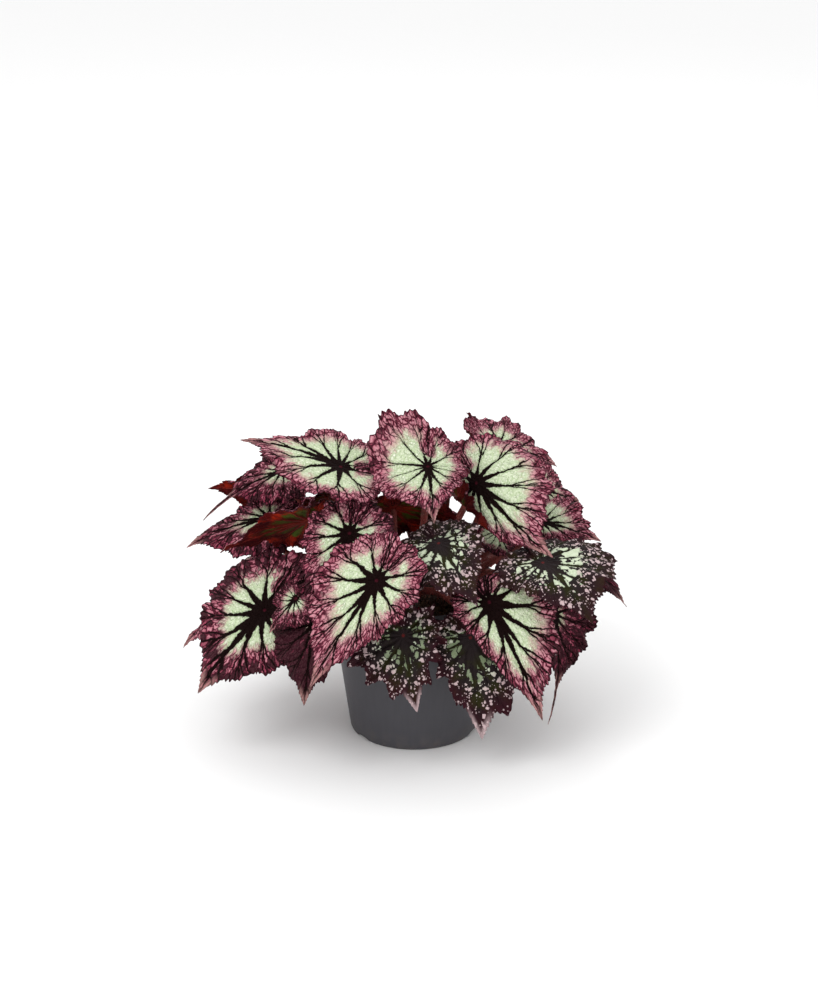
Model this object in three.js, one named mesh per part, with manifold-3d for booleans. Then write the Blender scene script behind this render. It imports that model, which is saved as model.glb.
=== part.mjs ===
// A painted-leaf begonia in a 12 cm nursery pot: pot, potting soil, the creeping rhizome with its leaf
// stalks, and the leaf blades, which each sit on the end of a stalk.
// Millimetres, +Z up, the plant seen from -Y. The origin is the middle of the pot's underside.
import * as THREE from "three";
import { mergeVertices } from "three/addons/utils/BufferGeometryUtils.js";
import Module from "manifold-3d";

const wasm = await Module();
wasm.setup();

// ---- driving dimensions ----
const POT_RIM_RADIUS = 60;
const POT_BASE_RADIUS = 44;
const POT_HEIGHT = 105;
const POT_WALL = 1.4;
const POT_FLOOR = 1.6;
const POT_FOOT_BEVEL = 1.5;
const POT_LIP_BEVEL = 0.8;
const RIM_BAND = 11; // height of the thicker band round the mouth
const RIM_STEP = 1.6; // how far that band stands out from the wall
const POT_SIDES = 36;
const NOTCHES = 3; // drainage arches in the lower edge
const NOTCH_TURN = -144; // compass angle of the first one
const NOTCH_WIDTH = 13;
const NOTCH_HEIGHT = 2.6;
const NOTCH_REACH = 12; // how far an arch runs in under the floor
const DRAIN_RADIUS = 4;
const DRAIN_CIRCLE = 27; // radius of the circle on which the round drains lie
const DRAIN_SIDES = 16;

const SOIL_TOP = 92; // height of the soil a little way in from the wall
const SOIL_ROLL = 2; // how much lower it meets the wall
const SOIL_MOUND = 3; // how much higher its middle lies
const FIT_GAP = 0.3; // clearance between pieces that touch
const MERGE_WITHIN = 1e-4; // points closer than this are one

const RHIZOME_HEIGHT = 94; // middle of the rhizome's arms, half sunk in the soil
const RHIZOME_RADIUS = 7;
const RHIZOME_KNUCKLES = [0.6, 1, 0.86, 1.06, 0.88, 1.02, 0.6]; // its radius along an arm, as shares
const RHIZOME_SIDES = 8;
const RHIZOME_BLUNT = 2;
const RHIZOME_DIP = 3; // how much deeper the arms start, in the middle of the pot
const RHIZOME_CROSS = 4; // how far an arm starts beyond the middle, so that all four meet
const RHIZOME_ARMS = [
  { compass: -100, length: 34 },
  { compass: -20, length: 30 },
  { compass: 65, length: 34 },
  { compass: 155, length: 32 },
];
const STALK_SIDES = 5;
const STALK_STEPS = 6;
const STALK_ROOT_RADIUS = 2.9;
const STALK_END_RADIUS = 1.9;
const STALK_END_BLUNT = 1.2;
const STALK_INNERMOST = 6; // how far out along an arm the innermost stalk stands
const STALK_SPREAD = 0.3; // how much further out it stands for each millimetre that its leaf is out
const STALK_LEAN = 0.3; // sideways share of the direction in which a stalk leaves the rhizome
const STALK_RISE = 0.4; // length of the upright start, as a share of the stalk's span
const STALK_ARRIVE = 0.3; // and of the straight end under the blade
const OVER_RIM = POT_HEIGHT + 27; // what a low stalk aims at on its way over the pot's mouth
const AIM_DROP = 15; // how much lower it may be where it turns down to the blade

const BLADE_THICKNESS = 0.8;
const HALF_WIDTH = 0.5; // how far out a half's fold angle is reached, as a share of the midrib
const HEEL_REACH = 0.4; // how far back the lift angle is reached, as a share of the midrib
const FULL_TO = 130; // degrees from the midrib at which the larger half has narrowed again
const SCROLL_RADIUS = 2.6; // of the roll itself
const SCROLL_TURN = 200; // degrees through which a scroll turns
const RIPPLE_WAVES = 5; // waves round the margin
const RIPPLE_TURN = 47; // degrees by which the waves of each leaf are turned from the last one's
const RIPPLE_FROM = 25; // degrees from the tip at which the waves have reached their full height
const PLEAT = 0.02; // height of the pleats between the veins, as a share of the chord
const PLEAT_RING = 1; // the ring that carries them
const FLAT = 1e-4; // below this, an angle in radians or a distance from an axis counts as none

const rad = THREE.MathUtils.degToRad;
const vec = (p) => new THREE.Vector3(...p);
// a point at a compass angle, r out from the pot's axis and z high
const compassPoint = (angle, r, z) => new THREE.Vector3(Math.cos(angle) * r, Math.sin(angle) * r, z);

// ---- the leaf's outline, seen flat ----
// [degrees from the midrib, reach as a share of the midrib's length], from the tip round to the heel.
// From 16 degrees on, notches and the teeth in which the main veins end take turns.
const HALF_MARGIN = [
  [0, 1.0],
  [3, 0.87],
  [8, 0.76],
  [16, 0.69],
  [28, 0.58],
  [40, 0.57],
  [54, 0.5],
  [68, 0.515],
  [83, 0.455],
  [98, 0.475],
  [114, 0.42],
  [131, 0.44],
  [148, 0.39],
  [163, 0.4],
  [176, 0.34],
];
const VEIN_PLACES = [0, 3, 5, 7, 9, 11, 13, 14]; // the points of HALF_MARGIN that the inner ring keeps
const RING_SHARES = [0.34, 0.68, 1]; // rings of points between the stalk and the margin

// ---- the leaves ----
// at: where the blade sits on its stalk; tip: the leaf's point; face: compass angle and rise of the
// direction that its upper side looks in. bend: how far the midrib curves down on its way to the tip.
// fold: how far each half curls down at its margin, or up if negative. lift: how far the heel lobes rise.
// wide and heel stretch the outline sideways and behind the stalk. fuller: the share by which the half
// to the left of the midrib is the larger one, or the right half if negative. tail: the share by which
// the point is drawn out beyond tip. skew: degrees by which the cleft between the heel lobes is turned to
// the right; drift: how far the lobes lean to the right for each millimetre that they reach back.
// scroll: where the left half starts to roll up over the blade, as a share of the midrib, or the right
// half if negative.
// ripple: height of the margin's waves; turn: where they start.
// over: the height that the stalk aims at before it turns down to its blade; root: where it stands on
// the rhizome, if not on the nearest arm. dark: whether the leaf is one of the dark, speckled ones.
const LEAVES = [
  {
    name: "leaf_01_top_left", at: [-48, -25, 199], tip: [-116, 0, 209], face: [-85, 74],
    bend: 25, fold: -5, fuller: 0.05, heel: 1.1, skew: 35,
  },
  {
    name: "leaf_02_top_centre", at: [9, -41, 205], tip: [13, -69, 178], face: [-86, 44],
    bend: 50, fold: 16, wide: 1.7, heel: 2.25, fuller: -0.18, lift: 40, tail: 0.06, skew: -38, drift: 0.35,
    root: [2, 6, 94],
  },
  {
    name: "leaf_03_top_right", at: [41, -16, 184], tip: [90, -64, 150], face: [-108, 12],
    bend: 25, fold: 64, wide: 1.08, heel: 1.05, fuller: 0.26, lift: 20, scroll: -0.17,
  },
  {
    name: "leaf_04_back_right", at: [58, 62, 182], tip: [101, 77, 162], face: [-75, 58],
    bend: 40, fold: 14, wide: 1.15, heel: 1.6, fuller: 0.1, lift: 50,
  },
  {
    name: "leaf_05_right_upper", at: [83, 34, 162], tip: [117, 54, 141], face: [-40, 42],
    bend: 30, fold: 16, wide: 1.3, heel: 0.55, fuller: 0.1,
  },
  {
    name: "leaf_06_right_middle", at: [86, 5, 148], tip: [127, 0, 136], face: [-55, 46],
    bend: 30, fold: 20, wide: 1.25, heel: 0.75, fuller: 0.3,
  },
  {
    name: "leaf_07_centre_dark", at: [16, -50, 155], tip: [41, -98, 130], face: [-86, 40],
    bend: 30, fold: 14, wide: 1.14, heel: 1, fuller: -0.12, dark: true,
  },
  {
    name: "leaf_08_right_dark", at: [84, -59, 145], tip: [115, -101, 119], face: [-72, 38],
    bend: 40, fold: 18, wide: 1.4, heel: 1.1, fuller: 0.28, dark: true,
  },
  {
    name: "leaf_09_front_right", at: [49, -74, 123], tip: [84, -98, 49], face: [-74, 24],
    bend: 30, fold: 16, wide: 0.78, heel: 0.5, lift: -25, fuller: 0.3, over: 138,
  },
  {
    name: "leaf_10_low_right_dark", at: [37, -68, 95], tip: [45, -86, 29], face: [-90, 18],
    bend: 15, fold: 14, wide: 1.25, heel: 0.65, fuller: 0.3, dark: true,
  },
  {
    name: "leaf_11_low_centre_dark", at: [-7, -78, 101], tip: [2, -98, 55], face: [-96, 24],
    bend: 15, fold: 12, wide: 1.3, fuller: -0.2, dark: true,
  },
  {
    name: "leaf_12_front_left", at: [-24, -90, 145], tip: [-67, -118, 82], face: [-95, 34],
    bend: 25, fold: 18, wide: 0.84, heel: 1.04, fuller: -0.16,
  },
  {
    name: "leaf_13_middle_left", at: [-42, -58, 165], tip: [-65, -94, 108], face: [-100, 44],
    bend: 25, fold: 16, wide: 0.95, heel: 0.95, fuller: 0.06,
  },
  {
    name: "leaf_14_left_large", at: [-99, -50, 107], tip: [-144, -65, 53], face: [-122, 26],
    bend: 25, fold: 16, heel: 1.55, wide: 1.3, fuller: -0.06,
  },
  {
    name: "leaf_15_low_left", at: [-64, -81, 112], tip: [-72, -97, 59], face: [-108, 14],
    bend: 20, fold: 30, wide: 1.12, heel: 0.5, fuller: -0.12,
  },
  {
    name: "leaf_16_left_small", at: [-77, -75, 126], tip: [-95, -79, 103], face: [-126, 30],
    bend: 20, fold: 14, wide: 1.2, heel: 0.8, over: 146,
  },
  {
    name: "leaf_17_left_far", at: [-116, -10, 96], tip: [-158, -15, 64], face: [-165, 50],
    bend: 30, fold: 30, over: 142,
  },
  {
    name: "leaf_18_left_upper", at: [-99, 24, 144], tip: [-157, 24, 122], face: [-140, 58],
    bend: 25, fold: 24, wide: 1.02,
  },
  {
    name: "leaf_19_left_curled", at: [-88, 25, 178], tip: [-130, 12, 160], face: [-125, 58],
    bend: 30, fold: 18, wide: 1.1, tail: 0.4,
  },
  {
    name: "leaf_20_left_back", at: [-96, 60, 150], tip: [-143, 50, 156], face: [100, 35],
    bend: 15, fold: 10, wide: 1.35, heel: 0.55,
  },
  {
    name: "leaf_21_left_inner", at: [-70, -14, 157], tip: [-130, -24, 138], face: [140, 30],
    bend: 15, fold: 10, wide: 1.15, heel: 0.8, fuller: 0.1,
  },
  {
    name: "leaf_22_centre_inner", at: [-14, 2, 160], tip: [-12, 32, 125], face: [95, 40],
    bend: 20, fold: 14, wide: 1.45, heel: 1.2, fuller: -0.5,
  },
  {
    name: "leaf_23_right_low_back", at: [108, 5, 124], tip: [145, -10, 92], face: [-20, 44],
    bend: 30, fold: 20,
  },
  {
    name: "leaf_24_right_low", at: [94, -42, 101], tip: [95, -58, 51], face: [-32, 14],
    bend: 20, fold: -50, wide: 1.1, fuller: 0.15, tail: 0.45,
  },
  {
    name: "leaf_25_back_top", at: [-14, 44, 184], tip: [-34, 96, 168], face: [100, 60],
    bend: 35, fold: 18,
  },
  {
    name: "leaf_26_back_left_high", at: [-66, 91, 148], tip: [-102, 132, 116], face: [128, 55],
    bend: 35, fold: 18, over: 160,
  },
  {
    name: "leaf_27_back_middle", at: [24, 86, 140], tip: [37, 138, 108], face: [77, 52],
    bend: 35, fold: 18,
  },
  {
    name: "leaf_28_back_right_high", at: [80, 74, 132], tip: [120, 110, 100], face: [42, 50],
    bend: 35, fold: 18, over: 148,
  },
  {
    name: "leaf_29_back_low_left", at: [-56, 76, 102], tip: [-82, 118, 54], face: [125, 34],
    bend: 30, fold: 18, heel: 0.8, over: 131,
  },
  {
    name: "leaf_30_back_low", at: [2, 88, 98], tip: [0, 132, 46], face: [92, 34],
    bend: 30, fold: 18, heel: 0.8,
  },
  {
    name: "leaf_31_back_low_right", at: [66, 68, 96], tip: [100, 102, 46], face: [45, 34],
    bend: 30, fold: 18, heel: 0.8, over: 137,
  },
  {
    name: "leaf_32_right_lowest", at: [88, 22, 94], tip: [122, 38, 44], face: [18, 30],
    bend: 30, fold: 18, heel: 0.8,
  },
  {
    name: "leaf_33_left_lowest", at: [-84, 34, 96], tip: [-120, 58, 46], face: [155, 30],
    bend: 30, fold: 18, heel: 0.45, lift: 25,
  },
  {
    name: "leaf_34_back_top_right", at: [15, 62, 166], tip: [29, 112, 142], face: [75, 58],
    bend: 35, fold: 18,
  },
  {
    name: "leaf_35_back_top_left", at: [-50, 54, 174], tip: [-74, 106, 148], face: [115, 58],
    bend: 35, fold: 18,
  },
  {
    name: "leaf_36_right_back", at: [94, 44, 124], tip: [138, 64, 94], face: [22, 48],
    bend: 30, fold: 18,
  },
  {
    name: "leaf_37_back_centre", at: [-31, 84, 135], tip: [-39, 134, 101], face: [102, 48],
    bend: 35, fold: 18, wide: 0.84,
  },
  {
    name: "leaf_38_left_back_low", at: [-96, 58, 112], tip: [-128, 84, 72], face: [146, 44],
    bend: 30, fold: 18, over: 138,
  },
  {
    name: "leaf_39_centre_young", at: [56, -4, 144], tip: [65, -27, 132], face: [-70, 45],
    bend: 30, fold: 20, wide: 1.1, heel: 1.2, fuller: -0.3,
  },
  {
    name: "leaf_40_left_centre", at: [-56, 8, 167], tip: [-64, 34, 141], face: [110, 42],
    bend: 20, fold: 14, wide: 1.15, heel: 1.2,
  },
];
const LEAF_DEFAULTS = {
  fold: 15, lift: 6, wide: 1, heel: 1, fuller: 0.08, tail: 0, skew: 0, drift: 0, scroll: 0,
  ripple: 2.2,
};

// ---- materials ----
function finish(color, roughness) {
  return new THREE.MeshStandardMaterial({ color, roughness, metalness: 0 });
}
const potPlastic = finish("#47474b", 0.55);
const pottingSoil = finish("#2f2219", 0.95);
const stalkRed = finish("#7a2420", 0.6);
const paintedLeaf = finish("#9c7f7c", 0.5);
const darkLeaf = finish("#4b4244", 0.45);

// ---- solids ----
function toSolid(geometry) {
  const bare = geometry.clone();
  for (const name of ["normal", "uv"]) bare.deleteAttribute(name);
  const merged = mergeVertices(bare, MERGE_WITHIN);
  return new wasm.Manifold(
    new wasm.Mesh({
      numProp: 3,
      vertProperties: merged.attributes.position.array,
      triVerts: new Uint32Array(merged.index.array),
    }),
  );
}

function toGeometry(solid) {
  const { vertProperties, triVerts } = solid.getMesh();
  return new THREE.BufferGeometry()
    .setAttribute("position", new THREE.BufferAttribute(vertProperties, 3))
    .setIndex(new THREE.BufferAttribute(triVerts, 1));
}

function named(name, geometry, material) {
  geometry.computeVertexNormals();
  const mesh = new THREE.Mesh(geometry, material);
  mesh.name = name;
  return mesh;
}

// A lathe of a closed profile, turned so that its axis stands up.
function turned(profile, sides) {
  return new THREE.LatheGeometry(
    profile.map(([r, z]) => new THREE.Vector2(r, z)),
    sides,
  ).rotateX(Math.PI / 2);
}

// ---- the pot ----
const wallSlope = (POT_RIM_RADIUS - RIM_STEP - POT_BASE_RADIUS) / POT_HEIGHT;
const wallRadius = (z) => POT_BASE_RADIUS + wallSlope * z; // outside of the tapered wall
const innerRadius = (z) => wallRadius(z) - POT_WALL;

function pot() {
  const bandFoot = POT_HEIGHT - RIM_BAND;
  const body = toSolid(
    turned(
      [
        [0, POT_FLOOR],
        [0, 0],
        [POT_BASE_RADIUS - POT_FOOT_BEVEL, 0],
        [wallRadius(POT_FOOT_BEVEL), POT_FOOT_BEVEL],
        [wallRadius(bandFoot), bandFoot],
        [wallRadius(bandFoot) + RIM_STEP, bandFoot + POT_LIP_BEVEL],
        [POT_RIM_RADIUS, POT_HEIGHT - POT_LIP_BEVEL],
        [POT_RIM_RADIUS - POT_LIP_BEVEL, POT_HEIGHT],
        [innerRadius(POT_HEIGHT) + POT_LIP_BEVEL / 2, POT_HEIGHT],
        [innerRadius(POT_HEIGHT - POT_LIP_BEVEL), POT_HEIGHT - POT_LIP_BEVEL],
        [innerRadius(POT_FLOOR), POT_FLOOR],
        [0, POT_FLOOR],
      ],
      POT_SIDES,
    ),
  );
  let cut = body;
  for (let i = 0; i < NOTCHES; i++) {
    const angle = rad(NOTCH_TURN + (360 / NOTCHES) * i);
    const arch = new THREE.BoxGeometry(2 * NOTCH_REACH, NOTCH_WIDTH, 2 * NOTCH_HEIGHT)
      .translate(POT_BASE_RADIUS, 0, 0)
      .rotateZ(angle);
    const drain = new THREE.CylinderGeometry(DRAIN_RADIUS, DRAIN_RADIUS, 4 * POT_FLOOR, DRAIN_SIDES)
      .rotateX(Math.PI / 2)
      .translate(DRAIN_CIRCLE, 0, 0)
      .rotateZ(angle + Math.PI / NOTCHES);
    cut = cut.subtract(toSolid(arch)).subtract(toSolid(drain));
  }
  return named("pot", toGeometry(cut), potPlastic);
}

// ---- tubes: a lathe of the given radii, bent along a curve ----
function bentTube(curve, radii, sides, bluntStart = 0, bluntEnd = 0) {
  const steps = radii.length - 1;
  const profile = [[0, 0], ...radii.map((r, i) => [r, i]), [0, steps]];
  const geometry = turned(profile, sides);
  const frames = curve.computeFrenetFrames(steps, false);
  const points = curve.getSpacedPoints(steps);
  const position = geometry.getAttribute("position");
  const local = new THREE.Vector3();
  for (let i = 0; i < position.count; i++) {
    local.fromBufferAttribute(position, i);
    const k = Math.round(local.z);
    const onAxis = Math.hypot(local.x, local.y) < FLAT;
    const overrun = onAxis ? (k === 0 ? -bluntStart : bluntEnd) : 0;
    const placed = points[k]
      .clone()
      .addScaledVector(frames.normals[k], local.x)
      .addScaledVector(frames.binormals[k], local.y)
      .addScaledVector(frames.tangents[k], overrun);
    position.setXYZ(i, placed.x, placed.y, placed.z);
  }
  const solid = toSolid(geometry);
  return solid.volume() < 0 ? toSolid(flipped(geometry)) : solid;
}

function flipped(geometry) {
  const index = geometry.index.array;
  for (let i = 0; i < index.length; i += 3) [index[i + 1], index[i + 2]] = [index[i + 2], index[i + 1]];
  return geometry;
}

// ---- the blade ----
const MARGIN = [
  ...HALF_MARGIN.slice(1).map(([a, r]) => [-a, r]).reverse(),
  ...HALF_MARGIN,
];
const TIP_PLACE = HALF_MARGIN.length - 1;
const INNER_PLACES = [
  ...VEIN_PLACES.slice(1).map((k) => TIP_PLACE - k).reverse(),
  ...VEIN_PLACES.map((k) => TIP_PLACE + k),
];

// The blade's own directions: along the chord from stalk to tip, to its left, and out of its upper side.
function axesOf(leaf) {
  const at = vec(leaf.at);
  const chord = vec(leaf.tip).sub(at);
  const along = chord.clone().normalize();
  const [compass, rise] = leaf.face.map(rad);
  const facing = compassPoint(compass, Math.cos(rise), Math.sin(rise));
  const left = facing.clone().cross(along).normalize();
  const up = along.clone().cross(left);
  return { at, along, left, up, chord: chord.length() };
}

// A point on the middle of the blade: degrees from the midrib, and share of the way out to the margin.
function bladePoint(leaf, axes, degrees, reach, share) {
  // seen flat: x towards the tip, y to the left
  const bend = rad(leaf.bend);
  const length = (axes.chord * bend) / 2 / Math.sin(bend / 2);
  const apart = Math.abs(degrees);
  const fullness = Math.sin(rad((180 * Math.min(apart, FULL_TO)) / FULL_TO));
  const lobe = 1 + (degrees < 0 ? -1 : 1) * leaf.fuller * fullness;
  const tail = degrees === 0 ? 1 + leaf.tail : 1;
  const out = reach * length * share * lobe * tail;
  const askew = rad(degrees + leaf.skew * (apart / 180) ** 2);
  const x = out * Math.cos(askew) * (Math.cos(askew) < 0 ? leaf.heel : 1);
  const y = out * Math.sin(askew) * leaf.wide + leaf.drift * Math.min(0, x);

  // along the midrib: an arc to the tip, and the heel lobes lifted
  const radius = length / bend;
  const start = bend / 2;
  const lifted = (-x * rad(leaf.lift)) / (HEEL_REACH * length);
  const sweep = x > 0 ? x / radius : lifted;
  const turnAt = start - sweep;
  const middle = start - sweep / 2;
  const forward = x > 0 ? radius * (Math.sin(start) - Math.sin(turnAt)) : x * Math.cos(middle);
  const rise = x > 0 ? radius * (Math.cos(turnAt) - Math.cos(start)) : x * Math.sin(middle);

  // across it: each half is an arc, with the waves of the margin on it
  const side = Math.sign(y);
  const beyond = side * leaf.scroll > 0 ? Math.max(0, Math.abs(y) - Math.abs(leaf.scroll) * length) : 0;
  const unrolled = y - side * beyond;
  const roll = rad(leaf.fold) / (HALF_WIDTH * length);
  const curl = roll * unrolled;
  const straight = Math.abs(curl) < FLAT;
  const bow = straight ? 0 : (1 - Math.cos(curl)) / roll;
  const across = straight ? unrolled : Math.sin(curl) / roll;
  // what lies beyond the start of a scroll runs round it, and then straight on
  const scrollTurn = Math.min(beyond / SCROLL_RADIUS, rad(SCROLL_TURN));
  const straightOn = beyond - scrollTurn * SCROLL_RADIUS;
  const outward = SCROLL_RADIUS * Math.sin(scrollTurn) + straightOn * Math.cos(scrollTurn);
  const above = SCROLL_RADIUS * (1 - Math.cos(scrollTurn)) + straightOn * Math.sin(scrollTurn);
  const lean = side * curl;
  const sideways = across + side * (outward * Math.cos(lean) + above * Math.sin(lean));
  const raised = above * Math.cos(lean) - outward * Math.sin(lean) - bow;
  const waving = Math.sin(rad(degrees * RIPPLE_WAVES + leaf.turn)) * Math.min(1, apart / RIPPLE_FROM);
  const wave = leaf.ripple * share ** 3 * waving;
  const tangentUp = new THREE.Vector3()
    .addScaledVector(axes.along, -Math.sin(turnAt))
    .addScaledVector(axes.up, Math.cos(turnAt));
  return axes.at
    .clone()
    .addScaledVector(axes.along, forward)
    .addScaledVector(axes.up, rise)
    .addScaledVector(axes.left, sideways)
    .addScaledVector(tangentUp, wave + raised);
}

function bladeGeometry(leaf) {
  const axes = axesOf(leaf);
  const pleat = PLEAT * axes.chord;
  const rings = RING_SHARES.map((share, ring) => {
    const places = ring === 0 ? INNER_PLACES : MARGIN.map((_, i) => i);
    return places.map((i) => {
      const point = bladePoint(leaf, axes, ...MARGIN[i], share);
      const onVein = INNER_PLACES.includes(i);
      if (ring === PLEAT_RING) point.addScaledVector(axes.up, onVein ? -pleat / 2 : pleat / 2);
      return point;
    });
  });
  const middle = [bladePoint(leaf, axes, 0, 1, 0), ...rings.flat()];

  // the first index of each ring, and the triangles between the rings
  const [inner, centre, outer] = [1, 1 + rings[0].length, 1 + rings[0].length + rings[1].length];
  const faces = [];
  for (let i = 0; i + 1 < rings[0].length; i++) faces.push([0, inner + i, inner + i + 1]);
  let k = 0;
  for (let i = 0; i + 1 < MARGIN.length; i++) {
    faces.push([inner + k, centre + i, centre + i + 1]);
    if (i + 1 === INNER_PLACES[k + 1]) {
      faces.push([inner + k, centre + i + 1, inner + k + 1]);
      k++;
    }
    faces.push([centre + i, outer + i, outer + i + 1]);
    faces.push([centre + i, outer + i + 1, centre + i + 1]);
  }
  const last = MARGIN.length - 1;
  const margin = MARGIN.map((_, i) => outer + i);
  const rim = [0, inner, centre, ...margin, centre + last, inner + rings[0].length - 1];
  return thickened(middle, faces, rim);
}

// Closes a sheet into a plate: both faces split alike, with a wall round the rim.
function thickened(middle, faces, rim) {
  const normals = middle.map(() => new THREE.Vector3());
  const edgeA = new THREE.Vector3();
  const edgeB = new THREE.Vector3();
  for (const [a, b, c] of faces) {
    edgeA.subVectors(middle[b], middle[a]);
    edgeB.subVectors(middle[c], middle[a]);
    const facing = edgeA.clone().cross(edgeB).normalize();
    for (const i of [a, b, c]) normals[i].add(facing);
  }
  const count = middle.length;
  const half = BLADE_THICKNESS / 2;
  for (const normal of normals) normal.normalize();
  const points = [half, -half].flatMap((offset) =>
    middle.map((p, i) => p.clone().addScaledVector(normals[i], offset)),
  );
  const index = [];
  for (const [a, b, c] of faces) index.push(a, b, c, count + a, count + c, count + b);
  rim.forEach((a, i) => {
    const b = rim[(i + 1) % rim.length];
    index.push(a, count + a, count + b, a, count + b, b);
  });
  return new THREE.BufferGeometry().setFromPoints(points).setIndex(index);
}

// ---- the rhizome and its stalks ----
function rhizomeArms(extra) {
  const radii = RHIZOME_KNUCKLES.map((share) => share * RHIZOME_RADIUS + extra);
  const blunt = RHIZOME_BLUNT + extra;
  const arms = RHIZOME_ARMS.map(({ compass, length }) => {
    const start = compassPoint(rad(compass), -RHIZOME_CROSS, RHIZOME_HEIGHT - RHIZOME_DIP);
    const end = compassPoint(rad(compass), length, RHIZOME_HEIGHT);
    return bentTube(new THREE.LineCurve3(start, end), radii, RHIZOME_SIDES, blunt, blunt);
  });
  return arms.reduce((all, arm) => all.add(arm));
}

// Where a stalk stands: on the arm nearest to its leaf, further out for a leaf further out.
function rootOf(leaf, at) {
  if (leaf.root) return vec(leaf.root);
  const compass = Math.atan2(at.y, at.x);
  const nearness = (arm) => Math.cos(compass - rad(arm.compass));
  const arm = RHIZOME_ARMS.reduce((best, a) => (nearness(a) > nearness(best) ? a : best));
  const wished = STALK_INNERMOST + STALK_SPREAD * Math.hypot(at.x, at.y);
  const reach = Math.min(arm.length - STALK_ROOT_RADIUS, wished);
  return compassPoint(rad(arm.compass), reach, RHIZOME_HEIGHT);
}

// Each stalk leaves its arm upwards and curves to the middle of its blade's underside.
function stalkOf(leaf) {
  const position = bladeGeometry(leaf).getAttribute("position");
  const under = new THREE.Vector3().fromBufferAttribute(position, position.count / 2);
  const over = new THREE.Vector3().fromBufferAttribute(position, 0);
  const away = under.clone().sub(over).normalize();
  const root = rootOf(leaf, vec(leaf.at));
  const span = root.distanceTo(under);
  const leave = under.clone().sub(root).setZ(0).normalize().multiplyScalar(STALK_LEAN).setZ(1).normalize();
  const rising = root.clone().addScaledVector(leave, span * STALK_RISE);
  const arriving = under.clone().addScaledVector(away, span * STALK_ARRIVE);
  if (under.z < OVER_RIM || leaf.over) {
    const aim = leaf.over ?? OVER_RIM;
    const beyondRim = Math.max(0, Math.hypot(arriving.x, arriving.y) - POT_RIM_RADIUS);
    rising.z = Math.max(rising.z, aim);
    arriving.z = Math.max(arriving.z, aim - AIM_DROP - beyondRim);
  }
  // the round end stops a gap short of the blade, further off where the stalk meets it aslant
  const slant = arriving.clone().sub(under).normalize().dot(away);
  const graze = STALK_END_RADIUS * Math.sqrt(Math.max(0, 1 - slant * slant));
  const seat = under.clone().addScaledVector(away, FIT_GAP + STALK_END_BLUNT * slant + graze);
  const curve = new THREE.CubicBezierCurve3(root, rising, arriving, seat);
  const radii = Array.from({ length: STALK_STEPS + 1 }, (_, i) =>
    THREE.MathUtils.lerp(STALK_ROOT_RADIUS, STALK_END_RADIUS, i / STALK_STEPS),
  );
  return bentTube(curve, radii, STALK_SIDES, 0, STALK_END_BLUNT);
}

// ---- the soil ----
function soil(hole) {
  const profile = [
    [0, POT_FLOOR + FIT_GAP],
    [innerRadius(POT_FLOOR) - FIT_GAP, POT_FLOOR + FIT_GAP],
    [innerRadius(SOIL_TOP - SOIL_ROLL) - FIT_GAP, SOIL_TOP - SOIL_ROLL],
    [0.8 * POT_BASE_RADIUS, SOIL_TOP],
    [0.45 * POT_BASE_RADIUS, SOIL_TOP + 0.6 * SOIL_MOUND],
    [0, SOIL_TOP + SOIL_MOUND],
  ];
  const body = turned(profile, POT_SIDES);
  const solid = toSolid(body);
  return (solid.volume() < 0 ? toSolid(flipped(body)) : solid).subtract(hole);
}

// ---- the assembly ----
const plant = new THREE.Group();
plant.name = "potted_rex_begonia";
const leaves = LEAVES.map((row, i) => ({ ...LEAF_DEFAULTS, turn: i * RIPPLE_TURN, ...row }));
plant.add(pot());
plant.add(named("soil", toGeometry(soil(rhizomeArms(FIT_GAP))), pottingSoil));
const stalks = leaves.map(stalkOf).reduce((all, stalk) => all.add(stalk), rhizomeArms(0));
plant.add(named("rhizome_and_stalks", toGeometry(stalks), stalkRed));
for (const leaf of leaves) {
  plant.add(named(leaf.name, bladeGeometry(leaf), leaf.dark ? darkLeaf : paintedLeaf));
}

export default plant;
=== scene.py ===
"""A rex begonia in a 12 cm nursery pot: its leaf blades, stalks, rhizome, soil and pot, made fine
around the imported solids. Sizes are in millimetres and degrees until a mesh is made, then in metres."""

import math

import bmesh
import bpy
import numpy as np
from bpy.props import FloatProperty, FloatVectorProperty, IntProperty, PointerProperty
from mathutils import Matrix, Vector


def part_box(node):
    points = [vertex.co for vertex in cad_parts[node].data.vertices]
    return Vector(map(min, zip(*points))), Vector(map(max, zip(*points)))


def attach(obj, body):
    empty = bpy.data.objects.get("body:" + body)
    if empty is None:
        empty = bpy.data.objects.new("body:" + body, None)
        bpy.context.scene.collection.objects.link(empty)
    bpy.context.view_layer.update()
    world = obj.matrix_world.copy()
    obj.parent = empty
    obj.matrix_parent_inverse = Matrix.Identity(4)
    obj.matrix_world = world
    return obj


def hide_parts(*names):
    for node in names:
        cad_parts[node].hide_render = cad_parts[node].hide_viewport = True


bl_info = {
    "name": "Rex Begonia",
    "version": (1, 0, 0),
    "blender": (4, 5, 0),
    "location": "View3D > Sidebar > Begonia",
    "description": "Makes the leaves, stalks, soil and pot of a potted rex begonia",
    "category": "Object",
}

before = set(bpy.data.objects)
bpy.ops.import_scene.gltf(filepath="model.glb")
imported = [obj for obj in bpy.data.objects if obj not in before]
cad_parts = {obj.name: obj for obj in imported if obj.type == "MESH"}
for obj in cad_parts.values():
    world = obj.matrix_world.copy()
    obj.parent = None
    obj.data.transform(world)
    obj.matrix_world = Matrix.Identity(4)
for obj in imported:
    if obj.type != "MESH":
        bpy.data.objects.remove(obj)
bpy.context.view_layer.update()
MM = 0.001
BODY = "root"
_, POT_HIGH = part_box("pot")
SOIL_LOW, SOIL_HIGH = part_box("soil")
RIM_RADIUS = POT_HIGH.x / MM

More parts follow.
